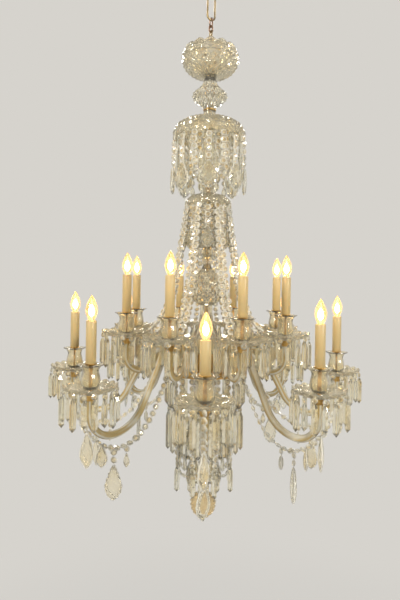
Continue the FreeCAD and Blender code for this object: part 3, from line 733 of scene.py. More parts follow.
def hangPieces(name, form, spots, material, *nodes, tints=(0.0, 0.0), rim=None, smooth=False,
               slot="clear_crystal", body="chandelier"):
    # hangs a copy of the form at every spot, each with its own tint of glass; rim is the
    # distance from a flat drop's middle plane within which its edge is ground and given a
    # painted highlight
    template = makeMesh(name + "_form", form, rim=rim)
    base = bpy.data.meshes.new(name + "_points")
    base.from_pydata([tuple(s["at"] * mm) for s in spots], [], [])
    given = {"turn": ("QUATERNION", "value", [c for s in spots for c in s["turn"]]),
             "size": ("FLOAT_VECTOR", "vector", [c for s in spots for c in s["size"]]),
             "tint": ("FLOAT", "value", [random.uniform(*tints) for s in spots])}
    for label, (kind, field, values) in given.items():
        base.attributes.new(label, kind, "POINT").data.foreach_set(field, values)
    made = growMesh(name, base, hangTree, {"Piece": template, "Material": material}, smooth)
    bpy.data.objects.remove(template)
    finishPiece(made, body, slot, *nodes)


def tubePieces(name, lines, radius, sides, material, slot, *nodes, body="chandelier",
               looped=True, rib=0.0):
    verts, edges = [], []
    for line in lines:
        first = len(verts)
        verts += [tuple(c * mm for c in p) for p in line]
        edges += [(i, i + 1) for i in range(first, len(verts) - 1)]
        if looped:
            edges.append((len(verts) - 1, first))
    base = bpy.data.meshes.new(name + "_lines")
    base.from_pydata(verts, edges, [])
    made = growMesh(name, base, tubeTree, {
        "Radius": radius * mm, "Groove": (radius - rib) * mm, "Ribs": sides // 2,
        "Material": material}, True)
    finishPiece(made, body, slot, *nodes)


# Cut drops and beads

def octagonForm(width, length, thickness, centreZ=0.0):
    # a flat-cut octagon: a table on each face, eight bevels and a narrow girdle
    table, corner = beadForm["table"], 1.0 / math.cos(math.pi / 8.0)
    angles = [math.pi * (k + 0.5) / 4.0 for k in range(8)]
    return loft([[(x * thickness, width / 2.0 * s * corner * math.cos(a),
                   centreZ + length / 2.0 * s * corner * math.sin(a)) for a in angles]
                 for x, s in ((-0.5, table), (-0.08, 1.0), (0.08, 1.0), (0.5, table))])


def barForm(length):
    # an octagon button over a long three-sided bar with its edges taken off and a cut point
    button, width = prismForm["button"], prismForm["width"]
    top = -button - prismForm["gap"]
    r = width / math.sqrt(3.0)
    angles = [2.0 * math.pi * k / 3.0 + side * prismForm["bevel"]
              for k in range(3) for side in (-1, 1)]
    levels = ((prismForm["top"], top), (1.0, top - prismForm["shoulder"] * width),
              (1.0, -length + prismForm["point"] * width))
    rings = [[(share * r * math.cos(a), share * r * math.sin(a), z) for a in angles]
             for share, z in levels]
    rings.append([(prismForm["tip"] * r, 0.0, -length)])
    return together(octagonForm(button, button, prismForm["buttonDepth"],
                                -button / 2.0 - prismForm["buttonLow"]), loft(rings))


# half widths of each drop's outline at shares of its length, from the hook down
dropOutlines = {
    "leaf": [(0.0, 0.05), (0.07, 0.14), (0.17, 0.235), (0.30, 0.32), (0.44, 0.43),
             (0.57, 0.495), (0.69, 0.485), (0.80, 0.41), (0.89, 0.29), (0.96, 0.14),
             (0.99, 0.05), (1.0, 0.0)],
    "shield": [(0.0, 0.1), (0.05, 0.28), (0.14, 0.42), (0.27, 0.49), (0.42, 0.5),
               (0.57, 0.485), (0.70, 0.43), (0.81, 0.34), (0.90, 0.22), (0.965, 0.10),
               (1.0, 0.0)],
    "almond": [(0.0, 0.06), (0.12, 0.17), (0.30, 0.32), (0.48, 0.45), (0.63, 0.5),
               (0.78, 0.41), (0.91, 0.22), (0.98, 0.06), (1.0, 0.0)],
}


def widthAt(outline, share):
    for (a, wide), (b, wideNext) in zip(outline, outline[1:]):
        if share <= b:
            return wide + (wideNext - wide) * (share - a) / (b - a)
    return 0.0


def dropEdge(outline, steps, scallop):
    # points round the edge of a drop of unit length and width; a scallop cuts every second
    # one back towards the middle
    side = []
    for k in range(steps + 1):
        share = 0.5 - 0.5 * math.cos(math.pi * k / steps)
        side.append((widthAt(outline, share), -share))
    edge = side + [(-y, z) for y, z in reversed(side[1:-1])]
    out = []
    for k, (y, z) in enumerate(edge):
        way = Vector((y, 0.55 * (z + 0.55))).normalized()
        step = scallop if k % 2 and 0 < -z < 1 else 0.0
        out.append((y - way.x * step, max(-1.0, z - way.y * step)))
    return out


def dropForm(kind, steps, scallop, table=0.62, crown=0.86):
    # A pendalogue of unit length, width and thickness: a table and two rows of facets a
    # side. The crown's corners stand in and out by turns, so its facets meet in a zigzag.
    edge, plain = [dropEdge(dropOutlines[kind], steps, cut) for cut in (scallop, 0.0)]
    centre = -0.53

    def ring(x, points, share, zigzag=0.0):
        shares = [share + (zigzag if k % 2 else -zigzag) for k in range(len(points))]
        return [(x, y * s, centre + (z - centre) * s) for (y, z), s in zip(points, shares)]

    levels = [(0.42, plain, table), (0.5, plain, table + 0.05), (0.28, plain, crown, 0.05),
              (0.07, edge, 1.0)]
    return loft([ring(-x, *rest) for x, *rest in levels]
                + [ring(x, *rest) for x, *rest in reversed(levels)])


def pinForm():
    # the brass pins that join an octagon to its neighbours
    r, pitch = beadForm["pin"], beadForm["pitch"]
    return together(*[loft([[(r * math.cos(a), r * math.sin(a), side * share * pitch)
                             for a in (0.0, 2.1, 4.2)] for share in beadForm["pinSpan"]])
                      for side in (-1, 1)])


octagonBead = octagonForm(beadForm["width"], beadForm["length"], beadForm["thickness"])
scallopedDrop = dropForm("leaf", 18, 0.045)
plainDrop = dropForm("almond", 8, 0.0, 0.45, 0.8)


def hangDrops(name, spots, tints, *nodes, form=scallopedDrop, glass=crystal, **rides):
    hangPieces(name, form, spots, glass, *nodes, tints=tints, rim=0.1, **rides)


def hangBeads(name, spots, tints, *nodes, **rides):
    hangPieces(name, octagonBead, spots, beadCrystal, *nodes, tints=tints, rim=1.0, **rides)


def threadBeads(name, spots, *nodes):
    hangBeads(name, spots, (-0.3, 0.45), *nodes)
    hangPieces(name + "_pins", pinForm(), spots, brass, slot="aged_brass")


def hangBrass(name, form, spots, *nodes):
    hangPieces(name, form, spots, brass, *nodes, smooth=True, slot="aged_brass")


def hangBars(name, length, spots, *nodes):
    hangPieces(name, barForm(length), spots, crystal, *nodes, tints=(-0.25, 0.5))


def hangStrings(name, look):
    # strings of beads hung straight down from a ring, with a small drop at the foot of each
    # if it has a size; a gap leaves room for the leaf drops, in degrees at either side
    step, start = 360.0 / look["count"], look.get("start", 0.0)
    spots = [s for i, s in enumerate(ringSpots(look))
             if abs((start + i * step + 45.0) % 90.0 - 45.0) >= look.get("gap", 0.0)]
    beads, ends = plumbBeads(spots, look["beads"])
    threadBeads(name + "_octagons", beads)
    if "size" in look:
        ends = [dict(s, turn=spun(s["turn"], beadForm["dropTwist"])) for s in ends]
        hangDrops(name + "_drops", ends, (-0.2, 0.4), form=plainDrop)


for name, node in (("top_octagons", "top_bead_strings"), ("tent_octagons", "tent_strings"),
                   ("middle_octagons", "middle_bead_strings"), ("swag_octagons", "arm_swags"),
                   ("basket_octagons", "basket_strings")):
    threadBeads(name, beadSpots(node), node)
print("bead strings are threaded")

# strings inside those of the frame, which fill the curtains under the two canopies
innerStrings = {
    "top_inner": {"count": 16, "radius": 92.0, "z": -447.0, "start": 11.25, "beads": 7,
                  "size": (9.0, 19.0, 36.0), "gap": 20.0},
    "top_core": {"count": 8, "radius": 70.0, "z": -430.0, "start": 22.5, "beads": 7,
                 "size": (9.0, 19.0, 36.0)},
    "middle_inner": {"count": 16, "radius": 60.0, "z": -660.0, "start": 11.25, "beads": 5,
                     "size": (9.0, 19.0, 34.0)},
    "middle_core": {"count": 8, "radius": 38.0, "z": -652.0, "beads": 7,
                    "size": (9.0, 17.0, 32.0)},
}
for name, look in innerStrings.items():
    hangStrings(name, look)

# two more strings to each upper pan, one at either side of the frame's own
sideTents = {"count": 8, "from": (70.0, -668.0), "to": (176.0, -1040.0), "slack": 1.03,
             "start": 22.5, "aside": 9.0, "frontGap": 20.0}
beads = []
for i in range(sideTents["count"]):
    for side in (-1, 1):
        azimuth = (sideTents["start"] + 360.0 * i / sideTents["count"]
                   + side * sideTents["aside"])
        # the front of the baluster stays in sight
        if min(azimuth, 360.0 - azimuth) >= sideTents["frontGap"]:
            beads += hungBeads(outward(azimuth, *sideTents["from"]),
                               outward(azimuth, *sideTents["to"]), sideTents["slack"])
threadBeads("side_tent_octagons", beads)

# long leaf drops hung from the inside of the top canopy, each on a pair of beads
canopyDrops = {"count": 4, "radius": 97.0, "z": -424.0, "beads": 2, "size": (13.0, 70.0, 146.0)}
beads, ends = plumbBeads(ringSpots(canopyDrops), canopyDrops["beads"])
threadBeads("canopy_drop_octagons", beads)
hangDrops("canopy_drops", ends, (-0.2, 0.2))
print("inner strings are threaded")

for name, node in (("top_drops", "top_pendalogues"), ("middle_drops", "middle_pendalogues")):
    hangDrops(name, dropSpots(node), (-0.2, 0.3), node)

node = "small_swag_drops"
hangDrops("swag_drops", dropSpots(node), (-0.1, 0.5), node, form=plainDrop)
hangBeads("swag_drop_octagons", beadSpots(node), (-0.25, 0.5))

for i in range(1, 9):
    node = "arm_pendalogue_%d" % i
    hangDrops("arm_drop_%d" % i, dropSpots(node), (0.0, 0.4), node, body=node)
    hangBeads("arm_drop_octagons_%d" % i, beadSpots(node), (-0.2, 0.4), body=node)

node = "finial_drop"
hangDrops("finial_pendalogue", dropSpots(node), (0.0, 0.0), node, body=node,
          form=dropForm("shield", 20, 0.05, 0.62, 0.85), glass=amberCrystal)

for name, node in (("lower_pan_bars", "lower_pan_prisms"),
                   ("upper_pan_bars", "upper_pan_prisms"),
                   ("bowl_bars", "bowl_prisms"), ("dish_bars", "dish_prisms")):
    spots = prismSpots(node)
    hangBars(name, spots[0]["length"], spots, node)

# pieces that fill the lower body: bars round the plate, drops between the dish's bars, bars
# tied to the basket's strings and a fringe round the tail
lowerFill = {
    "plate_bars": {"count": 16, "radius": 117.0, "z": -1181.0, "start": 11.25, "length": 92.0},
    "inner_bowl_bars": {"count": 12, "radius": 84.0, "z": -1296.0, "length": 104.0},
    "tail_bars": {"count": 12, "radius": 43.0, "z": -1490.0, "start": 15.0, "length": 58.0},
}
for name, look in lowerFill.items():
    hangBars(name, look["length"], ringSpots(look, prismForm["twist"]))

lowerStrings = {
    "dish": {"count": 12, "radius": 79.0, "z": -1340.0, "start": 15.0, "beads": 4,
             "size": (10.0, 22.0, 44.0)},
    "plate": {"count": 16, "radius": 98.0, "z": -1181.0, "beads": 5},
}
for name, look in lowerStrings.items():
    hangStrings(name, look)

basketRing = {"count": 8, "radius": 66.0, "z": -1424.0, "slack": 1.2}
beads = []
hooks = [s["at"] for s in ringSpots(basketRing)]
for start, end in zip(hooks, hooks[1:] + hooks[:1]):
    beads += hungBeads(start, end, basketRing["slack"])
threadBeads("basket_ring_octagons", beads)

tailLeaves = {"count": 6, "radius": 49.0, "z": -1462.0, "size": (11.0, 40.0, 60.0)}
hangDrops("tail_leaves", ringSpots(tailLeaves), (-0.2, 0.3))

basketBars = {"height": -1435.0, "below": 6.0, "foot": -1536.0, "length": 100.0, "twist": 20.0}
below, length = basketBars["below"], basketBars["length"]
tied = [s for s in beadSpots("basket_strings")
        if abs(s["at"].z - basketBars["height"]) < 0.5 * beadForm["pitch"]]
hangBars("basket_bars", length,
         [dict(s, turn=spun(levelTurn(s["at"]), basketBars["twist"]), at=s["at"] - upBy(below),
               size=(1.0, 1.0, (s["at"].z - below - basketBars["foot"]) / length))
          for s in tied])
print("drops and prisms are hung")


# Lights

light = {
    "panRadius": 71.2, "panLobes": 16, "panSides": 64,
    "lipRadius": 34.5, "nozzleLobes": 12, "nozzleSides": 36,
    "tubeRadius": 13.2, "tubeHeight": 108.0, "galleryRadius": 15.3,
    "bulbHeight": 64.0, "bulbRadius": 15.4, "bulbFoot": 7.4, "glow": (0.34, 0.18, 0.62),
    "nozzleTop": -1.0, "panTop": -68.0, "panBottom": -74.0, "cupBottom": -92.0,
    "barRadius": 66.0, "barRise": 5.0, "barLength": 84.0,
}


def rowsWithin(low, high, r, rows):
    # Rows in millimetres, from radii and heights that may be shares. A radius from 0 to 1
    # is a share of r, a negative one is millimetres less than r, and a larger one is plain
    # millimetres. A height from 0 to 1 is a share of the way from low to high, a negative
    # one is millimetres up from low, and a larger one millimetres down from high.
    made = []
    for x, t, *cuts in rows:
        wide = r + x if x < 0.0 else x * r if x <= 1.0 else x
        z = low - t if t < 0.0 else low + t * (high - low) if t <= 1.0 else high - t
        made.append((wide, z, *cuts))
    return made


def panForm():
    top, bottom, r = light["panTop"], light["panBottom"], light["panRadius"]
    under = [(6.0, 0.0), (26.0, 0.0), (32.0, 1.0, 2.4), (39.0, 3.0, 3.2), (46.0, 5.5, 3.6),
             (53.0, 8.1, 3.6), (60.0, 10.5, 3.6, 1.0), (r - 6.0, 12.8, 1.6, 2.5, 1.5),
             (r - 1.0, 15.5, 0.0, 5.5, 4.5), (r, 17.0, 0.0, 5.5, 5.0),
             (r - 1.5, 18.0, 0.0, 5.5, 5.0)]
    inside = [(r - 7.0, 10.5, 0.0, 2.5, 2.0), (58.0, 8.5, 2.4, 0.5), (52.0, 6.8, 2.4),
              (46.0, 5.0, 2.4), (40.0, 3.2, 2.4), (34.0, 1.4, 1.2), (27.0, 0.0), (6.0, 0.0)]
    rows = [(x, foot + z, *cuts) for foot, part in ((bottom, under), (top, inside))
            for x, z, *cuts in part]
    return revolve(rows, light["panSides"], light["panLobes"])


def nozzleForm():
    span = (light["panTop"], light["nozzleTop"], light["lipRadius"])
    outer = rowsWithin(*span, [
        (15.0, 0.0), (17.0, 0.06), (22.0, 0.2), (25.0, 0.36), (23.5, 0.54), (20.5, 0.72),
        (23.0, 0.85), (29.0, 0.94), (1.0, 1.5)])
    rows = [(r, z, 0.0, 2.2) for r, z in smoothLine(outer, 2)[:-1]]
    rows += rowsWithin(*span, [
        (1.0, 3.0, 0.0, 3.0, 1.8), (-1.5, 1.8, 0.0, 3.0, 1.8), (26.0, 0.945), (18.0, 0.78),
        (17.5, 0.68), (20.5, 0.5), (21.5, 0.34), (16.0, 0.14), (6.0, 0.1), (6.0, 0.0)])
    return revolve(rows, light["nozzleSides"], light["nozzleLobes"])


def candleForm():
    r, h = light["tubeRadius"], light["tubeHeight"]
    return revolve([(r - 1.0, 0.0), (r, 0.8), (r, h - 1.2), (r - 0.6, h), (r - 2.0, h),
                    (r - 2.4, h - 1.0), (r - 2.4, h - 6.0), (0.01, h - 6.0), (0.01, 0.0)], 32)


def galleryForm():
    r = light["galleryRadius"]
    return revolve([(5.0, -4.0), (10.0, -4.0), (12.0, -3.4), (12.6, -2.2), (r - 0.6, -1.8),
                    (r, -1.0), (r - 0.4, 0.0), (5.0, 0.0)], 32)


def bulbForm():
    r, h = light["bulbRadius"], light["bulbHeight"]
    outer = [(light["bulbFoot"], 0.0), (8.0, 0.05 * h), (12.0, 0.17 * h), (14.8, 0.31 * h),
             (r, 0.42 * h), (13.8, 0.57 * h), (9.8, 0.74 * h), (5.0, 0.89 * h), (0.6, h)]
    return revolve(smoothLine(outer, 3) + [(0.01, h), (0.01, 0.0)], 24)


def glowForm():
    # the glow round a filament: a slim drop of light on the bulb's axis
    r, h = light["bulbRadius"], light["bulbHeight"]
    share, low, high = light["glow"]
    rings = []
    for t in (k / 6.0 for k in range(7)):
        wide = share * r * (0.12 + 0.88 * math.sin(math.pi * t ** 0.8))
        rings.append([(wide * math.cos(a), wide * math.sin(a), h * (low + (high - low) * t))
                      for a in (math.pi * k / 6.0 for k in range(12))])
    return loft(rings)


def cupForm():
    bottom = light["cupBottom"]
    rows = rowsWithin(bottom, light["panBottom"], 1.0, [
        (4.4, 0.0), (10.6, 0.0), (11.4, -1.5), (10.8, -4.0), (12.6, -8.0), (14.6, -13.0),
        (15.0, 1.2), (14.4, 1.0), (4.4, 1.0)])
    rod = [(4.2, bottom + 0.2), (4.2, -4.2), (0.01, -4.2), (0.01, bottom + 0.2)]
    return together(revolve(rows, 32), revolve(rod, 16))


def panBars(spots):
    # bars between those of the frame, apart from where the swag is tied
    made = []
    for spot in spots:
        out = spot["turn"] @ Vector((1.0, 0.0, 0.0))
        for k in range(1, 8):
            way = Matrix.Rotation(math.radians(45.0 * k), 3, "Z") @ out
            made.append({"at": spot["at"] + way * light["barRadius"]
                         + upBy(light["panTop"] + light["barRise"]),
                         "turn": spun(levelTurn(way), prismForm["twist"]), "size": whole})
    return made


def lampSpots(spots):
    return [dict(s, at=s["at"] + upBy(s["high"])) for s in spots]


lightForms = {   # form, material, slot, smooth, node
    "cut_pans": (panForm(), panCrystal, "clear_crystal", False, "drip_pans"),
    "flared_nozzles": (nozzleForm(), blownGlass, "clear_crystal", True, "nozzles"),
    "candle_sleeves": (candleForm(), card, "ivory_card", True, "candle_tubes"),
    "lamp_glasses": (bulbForm(), lampGlass, "bulb_glass", True, "bulbs"),
}
allLights = []
for tier in ("lower", "upper"):
    feet = lightSpots(tier + "_candle_tubes")
    allLights += feet
    places = {"candle_sleeves": [dict(s, size=(1.0, 1.0, s["high"] / light["tubeHeight"]))
                                 for s in feet],
              "lamp_glasses": lampSpots(feet)}
    for name, (form, material, slot, smooth, node) in lightForms.items():
        hangPieces("%s_%s" % (tier, name), form, places.get(name, feet), material,
                   "%s_%s" % (tier, node), tints=(0.0, 0.3), smooth=smooth, slot=slot)
    hangBars(tier + "_short_bars", light["barLength"], panBars(feet))
hangBrass("brass_galleries", galleryForm(), allLights, "candle_galleries")
hangBrass("brass_arm_cups", cupForm(), allLights, "arm_cups")
hangPieces("bulb_filaments", glowForm(), lampSpots(allLights), tungsten, smooth=True,
           slot="bulb_glass")
print("lights are fitted")


# Arms

arms = {
    "radius": 10.0, "rib": 1.2, "rootRadius": 105.0, "rootTopZ": -1154.6, "sides": 24,
    "stepAngle": 5.0,
    "lower": {"reach": 406.0, "topZ": -1199.0, "drop": 34.0, "outer": 67.0, "inner": 110.0,
              "lean": 63.0, "leg": 135.0},
    "upper": {"reach": 250.0, "topZ": -1081.0, "drop": 34.0, "outer": 45.0, "inner": 50.0,
              "lean": 55.0, "leg": 15.0},
}


def armLine(form):
    # down from the pan, round the low bend, up the leaning leg and over into the root
    out, z, heading = form["reach"], form["topZ"], -90.0
    points = [(out, z)]

    def go(length):
        nonlocal out, z
        out += length * math.cos(math.radians(heading))
        z += length * math.sin(math.radians(heading))
        points.append((out, z))

    def bend(angle, radius):
        nonlocal heading
        count = math.ceil(abs(angle) / arms["stepAngle"])
        step = angle / count
        for i in range(count):
            heading += step / 2.0
            go(2.0 * radius * math.sin(math.radians(abs(step)) / 2.0))
            heading += step / 2.0

    go(form["drop"])
    bend(-90.0, form["outer"])
    bend(-form["lean"], form["inner"])
    go(form["leg"])
    over = (out - arms["rootRadius"]) / (1.0 + math.sin(math.radians(form["lean"])))
    bend(90.0 + form["lean"], over)
    return points + [(arms["rootRadius"], arms["rootTopZ"])]


def armPieces(name, tier, azimuths, node):
    lines = [[outward(azimuth, *point) for point in armLine(arms[tier])]
             for azimuth in azimuths]
    tubePieces(name, lines, arms["radius"], arms["sides"], bentGlass, "clear_crystal", node,
               looped=False, rib=arms["rib"])


for i in range(8):
    armPieces("glass_arm_%d" % (i + 1), "lower", [45.0 * i], "lower_arm_%d" % (i + 1))
armPieces("glass_upper_arms", "upper", [45.0 * i + 22.5 for i in range(8)], "upper_arms")

rootCup = [(6.0, 0.0), (13.6, 0.0), (14.0, 1.5), (12.8, 3.0), (13.0, 9.0), (14.0, 12.0),
           (13.6, 15.8), (6.0, 15.8)]
hangBrass("brass_root_cups", revolve(rootCup, 24),
          [dict(s, turn=levelTurn(s["at"])) for s in lightSpots("arm_root_cups")],
          "arm_root_cups")
print("arms are fixed")


# Stem

bore = 6.5
neck = 19.0
boreRows = [(bore, 1.0), (bore, 0.0)]
globe = {"diamond": 4.6, "leaf": 7.0, "lip": 8.0}
canopyCuts = {"diamond": 3.4, "flute": 1.6, "scallop": 7.0}
spacer = {"wide": 13.4, "narrow": 11.4, "rings": 8, "diamond": 0.5, "sides": 24}


def stemRows(node, rows):
    low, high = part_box(node)
    return rowsWithin(low.z / mm, high.z / mm, high.x / mm, rows)


def smoothRows(node, look):
    # a smooth outline, cut all over in diamonds and flutes
    points = stemRows(node, look["outline"])
    diamond, flute = look["cut"]
    line = smoothLine(points, look["steps"])
    rows = [(x - 0.6 * diamond, z, diamond, flute) for x, z in line]
    return points[:1] + rows[1:-1] + points[-1:] + stemRows(node, boreRows)


def globeRows():
    # diamonds below the belly, leaves above it and a scalloped open mouth
    outer = stemRows("top_globe", [(neck, 0.0), (0.34, 0.045), (0.60, 0.13), (0.82, 0.26),
                                   (0.945, 0.42), (-1.0, 0.60), (0.97, 0.75), (0.87, 0.87)])
    low, high = [corner.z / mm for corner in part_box("top_globe")]
    h, lip = high - low, globe["lip"]
    rows = []
    for i, (x, z) in enumerate(smoothLine(outer, 2)):
        upper = min(1.0, max(0.0, (z - low - 0.5 * h) / (0.3 * h)))
        diamond = globe["diamond"] * (1.0 - upper) if i > 2 else 0.0
        rows.append((x - diamond, z, diamond, globe["leaf"] * upper, 0.5 * lip * upper ** 3))
    return rows + stemRows("top_globe", [
        (0.765, lip, 0.0, 2.5, lip), (0.70, lip + 0.5, 0.0, 2.5, lip),
        (0.80, 18.0, 0.0, 2.0, 4.0), (0.89, 0.72), (0.91, 0.58), (0.86, 0.43), (0.73, 0.29),
        (0.50, 0.19), (0.28, 0.13), (bore, 0.11), (bore, 0.0)])


d, f, s = canopyCuts["diamond"], canopyCuts["flute"], canopyCuts["scallop"]
# from rim to neck outside and back inside: a flat crown and sides that drop nearly straight
topCanopy = [
    (1.0, 0.0, 0.0, f, s), (0.995, 0.12, 0.0, f, 0.5 * s), (0.975, 0.24, d, f),
    (0.945, 0.34, d, f), (0.90, 0.44, d, f), (0.83, 0.53, d, f), (0.74, 0.60, d, f),
    (0.62, 0.665, d), (0.49, 0.715, d), (0.36, 0.755, d), (0.25, 0.79), (neck + 0.6, 0.86),
    (neck, 1.0), (bore, 1.0), (bore, 22.0), (neck, 22.0), (0.36, 0.69), (0.58, 0.61),
    (0.72, 0.53), (0.84, 0.42), (0.91, 0.29), (0.95, 0.12, 0.0, f, 0.4 * s),
    (-4.0, 0.0, 0.0, f, s)]
middleCanopy = [
    (1.0, 0.0, 0.0, f, s), (0.98, 0.24, 0.5 * d, f, 0.3 * s), (0.93, 0.42, d, f),
    (0.85, 0.58, d, f), (0.72, 0.72, d), (0.56, 0.83, d), (0.38, 0.92, 0.5 * d), (15.0, 1.0),
    (bore, 1.0), (bore, 9.0), (neck, 9.0), (0.45, 0.74), (0.66, 0.6), (0.82, 0.42),
    (0.91, 0.2, 0.0, f, 0.3 * s), (-4.0, 0.0, 0.0, f, s)]
trumpet = [
    (1.0, 0.0, 0.0, 2.0), (0.93, 0.08, 1.0, 1.5), (0.80, 0.2, 1.2, 1.5), (0.66, 0.34, 1.2, 1.2),
    (0.52, 0.48, 1.0, 1.0), (0.42, 0.6, 1.0), (0.355, 0.72, 0.8), (0.33, 0.86), (neck, 1.0),
    (bore, 1.0), (bore, 0.0), (34.0, 0.0), (34.0, -30.0), (0.74, -12.0), (-4.0, 0.0, 0.0, 2.0)]
dish = [
    (bore, 0.0), (0.3, 0.0), (0.44, 0.16, 1.2), (0.57, 0.32, 1.4), (0.70, 0.48, 1.4),
    (0.82, 0.63, 1.4), (0.91, 6.5, 1.0, 0.5), (-1.0, 5.0, 0.0, 2.5), (1.0, 1.5, 0.0, 3.0),
    (-2.5, 1.0, 0.0, 2.5), (0.86, 4.0), (0.6, 0.5), (0.3, -5.0), (bore, -5.0)]
tailBowl = [
    (12.0, 0.0), (0.5, 0.1), (0.78, 0.26, 1.2), (0.93, 0.48, 1.6), (-1.0, 0.7, 1.2),
    (0.9, 0.84, 1.0), (0.6, 0.94), (14.0, 1.0)] + boreRows
collar = [(bore, 0.0), (-2.0, 0.0), (1.0, -1.5), (1.0, 1.5), (-2.0, 1.0), (bore, 1.0)]
plate = [
    (bore, 0.0), (30.0, 0.0), (34.0, -0.4), (-6.0, 0.0), (-1.0, -1.0), (1.0, -3.0),
    (1.0, -5.0), (-1.0, -7.0), (-6.0, -8.0), (36.0, -8.0), (34.0, -11.0), (33.0, 14.0),
    (34.0, 8.0), (33.0, 4.0), (33.0, 1.0), (bore, 1.0)]
spindle = {"cut": (3.4, 0.6), "steps": 1, "outline": [
    (neck, 0.0), (0.35, 0.05), (0.44, 0.12), (0.70, 0.22), (0.93, 0.34), (0.98, 0.43),
    (0.93, 0.53), (0.71, 0.64), (0.52, 0.75), (0.41, 0.85), (0.35, 0.94), (neck, 1.0)]}
baluster = {"cut": (5.6, 0.0), "steps": 1, "outline": [
    (neck, 0.0), (0.36, 0.045), (0.57, 0.11), (0.78, 0.22), (0.92, 0.35), (0.97, 0.48),
    (0.955, 0.59), (0.88, 0.69), (0.70, 0.78), (0.49, 0.86), (0.31, 0.94), (17.0, 1.0)]}
# the tubes swell at the middle or carry cut knobs near the foot
upperTube = {"cut": (0.7, 0.0), "steps": 5, "outline": [
    (15.0, 0.0), (0.86, 0.12), (0.95, 0.28), (0.96, 0.45), (0.93, 0.62), (0.86, 0.80),
    (15.0, 1.0)]}
lowerTube = {"cut": (0.0, 0.0), "steps": 1, "outline": [
    (17.0, 0.0), (0.84, 0.03), (0.70, 0.055), (0.97, 0.085), (1.0, 0.115), (0.97, 0.145),
    (0.70, 0.175), (0.97, 0.205), (1.0, 0.235), (0.97, 0.265), (0.70, 0.295), (0.95, 0.325),
    (0.98, 0.35), (0.95, 0.375), (0.68, 0.41), (0.74, 0.5), (0.80, 0.7), (0.86, 0.88),
    (17.0, 1.0)]}

glass, metal = "clear_crystal", "aged_brass"
stemPieces = [   # piece, node, shape, sides, lobes, material, slot
    ("cut_globe", "top_globe", globe, 48, 12, domeCrystal, glass),
    ("cut_spindle", "spindle_ball", spindle, 32, 8, crystal, glass),
    ("brass_collar", "spindle_collar", collar, 32, 1, brass, metal),
    ("cut_top_canopy", "top_canopy", topCanopy, 64, 16, domeCrystal, glass),
    ("upper_tube", "upper_stem_tube", upperTube, 16, 1, crystal, glass),
    ("cut_middle_canopy", "middle_canopy", middleCanopy, 64, 16, domeCrystal, glass),
    ("lower_tube", "lower_stem_tube", lowerTube, 12, 1, crystal, glass),
    ("diamond_baluster", "baluster", baluster, 36, 1, crystal, glass),
    ("flared_trumpet", "trumpet", trumpet, 48, 12, crystal, glass),
    ("brass_receiver_plate", "receiver_plate", plate, 64, 1, brass, metal),
    ("cut_receiver_bowl", "receiver_bowl", dish, 96, 16, crystal, glass),
    ("cut_lower_dish", "lower_dish", dish, 72, 12, crystal, glass),
    ("cut_tail_bowl", "tail_bowl", tailBowl, 36, 1, crystal, glass),
]
for name, node, shape, sides, lobes, material, slot in stemPieces:
    if shape is globe:
        rows = globeRows()
    elif "outline" in shape:
        rows = smoothRows(node, shape)
    else:
        rows = stemRows(node, shape)
    piece = makeMesh(name, revolve(rows, sides, lobes), material, shape is collar)
    finishPiece(piece, "chandelier", slot, node)

spacers = []
for points in cadSolids("stem_spacers"):
    low, high = min(p.z for p in points), max(p.z for p in points)
    rings = [(spacer["wide" if i % 2 else "narrow"],
              low + (high - low) * i / spacer["rings"], spacer["diamond"])
             for i in range(1, spacer["rings"])]
    rows = [(spacer["wide"], low)] + rings + [(spacer["wide"], high), (bore, high), (bore, low)]
    spacers.append(revolve(rows, spacer["sides"]))
finishPiece(makeMesh("glass_spacers", together(*spacers), crystal), "chandelier",
            "clear_crystal", "stem_spacers")
print("stem glass is threaded")


# Rod, eye, finial loop and chain

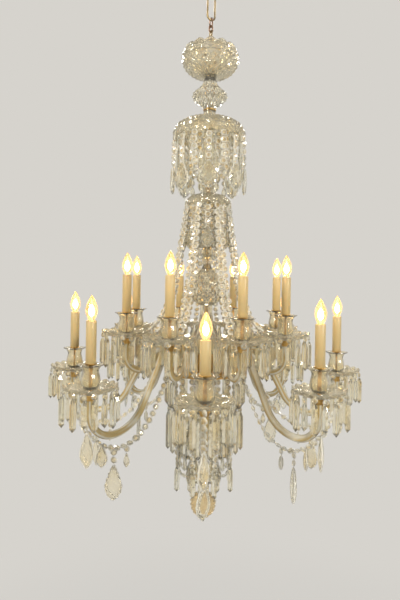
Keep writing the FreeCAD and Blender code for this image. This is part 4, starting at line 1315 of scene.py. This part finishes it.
chain = {
    "turn": 30.0, "sides": 12, "wire": 2.3, "eyeLength": 19.0, "eyeWidth": 12.0, "steps": 40,
    "links": [   # piece, node and body, wire, width, quarter turns, metal, slot
        ("hook_link", "hanging_link", 3.0, 26.0, 0, steel, "steel_wire"),
        ("chain_link_a", "upper_chain_link", 2.3, 15.0, 1, darkBrass, "aged_brass"),
        ("chain_link_b", "lower_chain_link", 2.3, 12.0, 0, darkBrass, "aged_brass"),
    ],
}
finialLoop = {"radius": 5.0, "below": 11.0, "wire": 1.25, "sides": 8, "steps": 24}


def linkLine(topZ, bottomZ, width, quarter):
    # an oval in the link's own plane; heights and width are between wire centres
    half = width / 2.0
    straight = (topZ - bottomZ) / 2.0 - half
    a = math.radians(chain["turn"] + 90.0 * quarter)
    line = []
    for k in range(chain["steps"]):
        t = 2.0 * math.pi * k / chain["steps"]
        x = half * math.sin(t)
        line.append((x * math.cos(a), x * math.sin(a), (topZ + bottomZ) / 2.0
                     + half * math.cos(t) + math.copysign(straight, math.cos(t))))
    return line


for name, node, wire, width, quarter, material, slot in chain["links"]:
    low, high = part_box(node)
    line = linkLine(high.z / mm - wire, low.z / mm + wire, width, quarter)
    tubePieces(name, [line], wire, chain["sides"], material, slot, node, body=node)

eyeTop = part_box("stem_rod")[1].z / mm - chain["wire"]
eyeFoot = eyeTop - chain["eyeLength"]
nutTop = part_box("tail_bowl")[0].z / mm
rod = [(4.0, nutTop - 6.0), (6.0, nutTop - 6.0), (9.5, nutTop - 4.5), (11.8, nutTop - 1.5),
       (11.8, nutTop), (6.0, nutTop), (6.0, eyeFoot), (2.0, eyeFoot + 3.0),
       (0.01, eyeFoot + 3.0), (0.01, nutTop - 6.0)]
finishPiece(makeMesh("stem_rod_turned", revolve(rod, 24), brass, True), "chandelier",
            "steel_rod", "stem_rod")
tubePieces("stem_eye", [linkLine(eyeTop, eyeFoot, chain["eyeWidth"], 1)], chain["wire"],
           chain["sides"], steel, "steel_wire")
r = finialLoop["radius"]
angles = [2.0 * math.pi * k / finialLoop["steps"] for k in range(finialLoop["steps"])]
loop = [(r * math.sin(a), 0.0, nutTop - finialLoop["below"] + r * math.cos(a)) for a in angles]
tubePieces("finial_loop", [loop], finialLoop["wire"], finialLoop["sides"], brass, "aged_brass")
print("rod and chain are hung")

low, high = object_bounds()
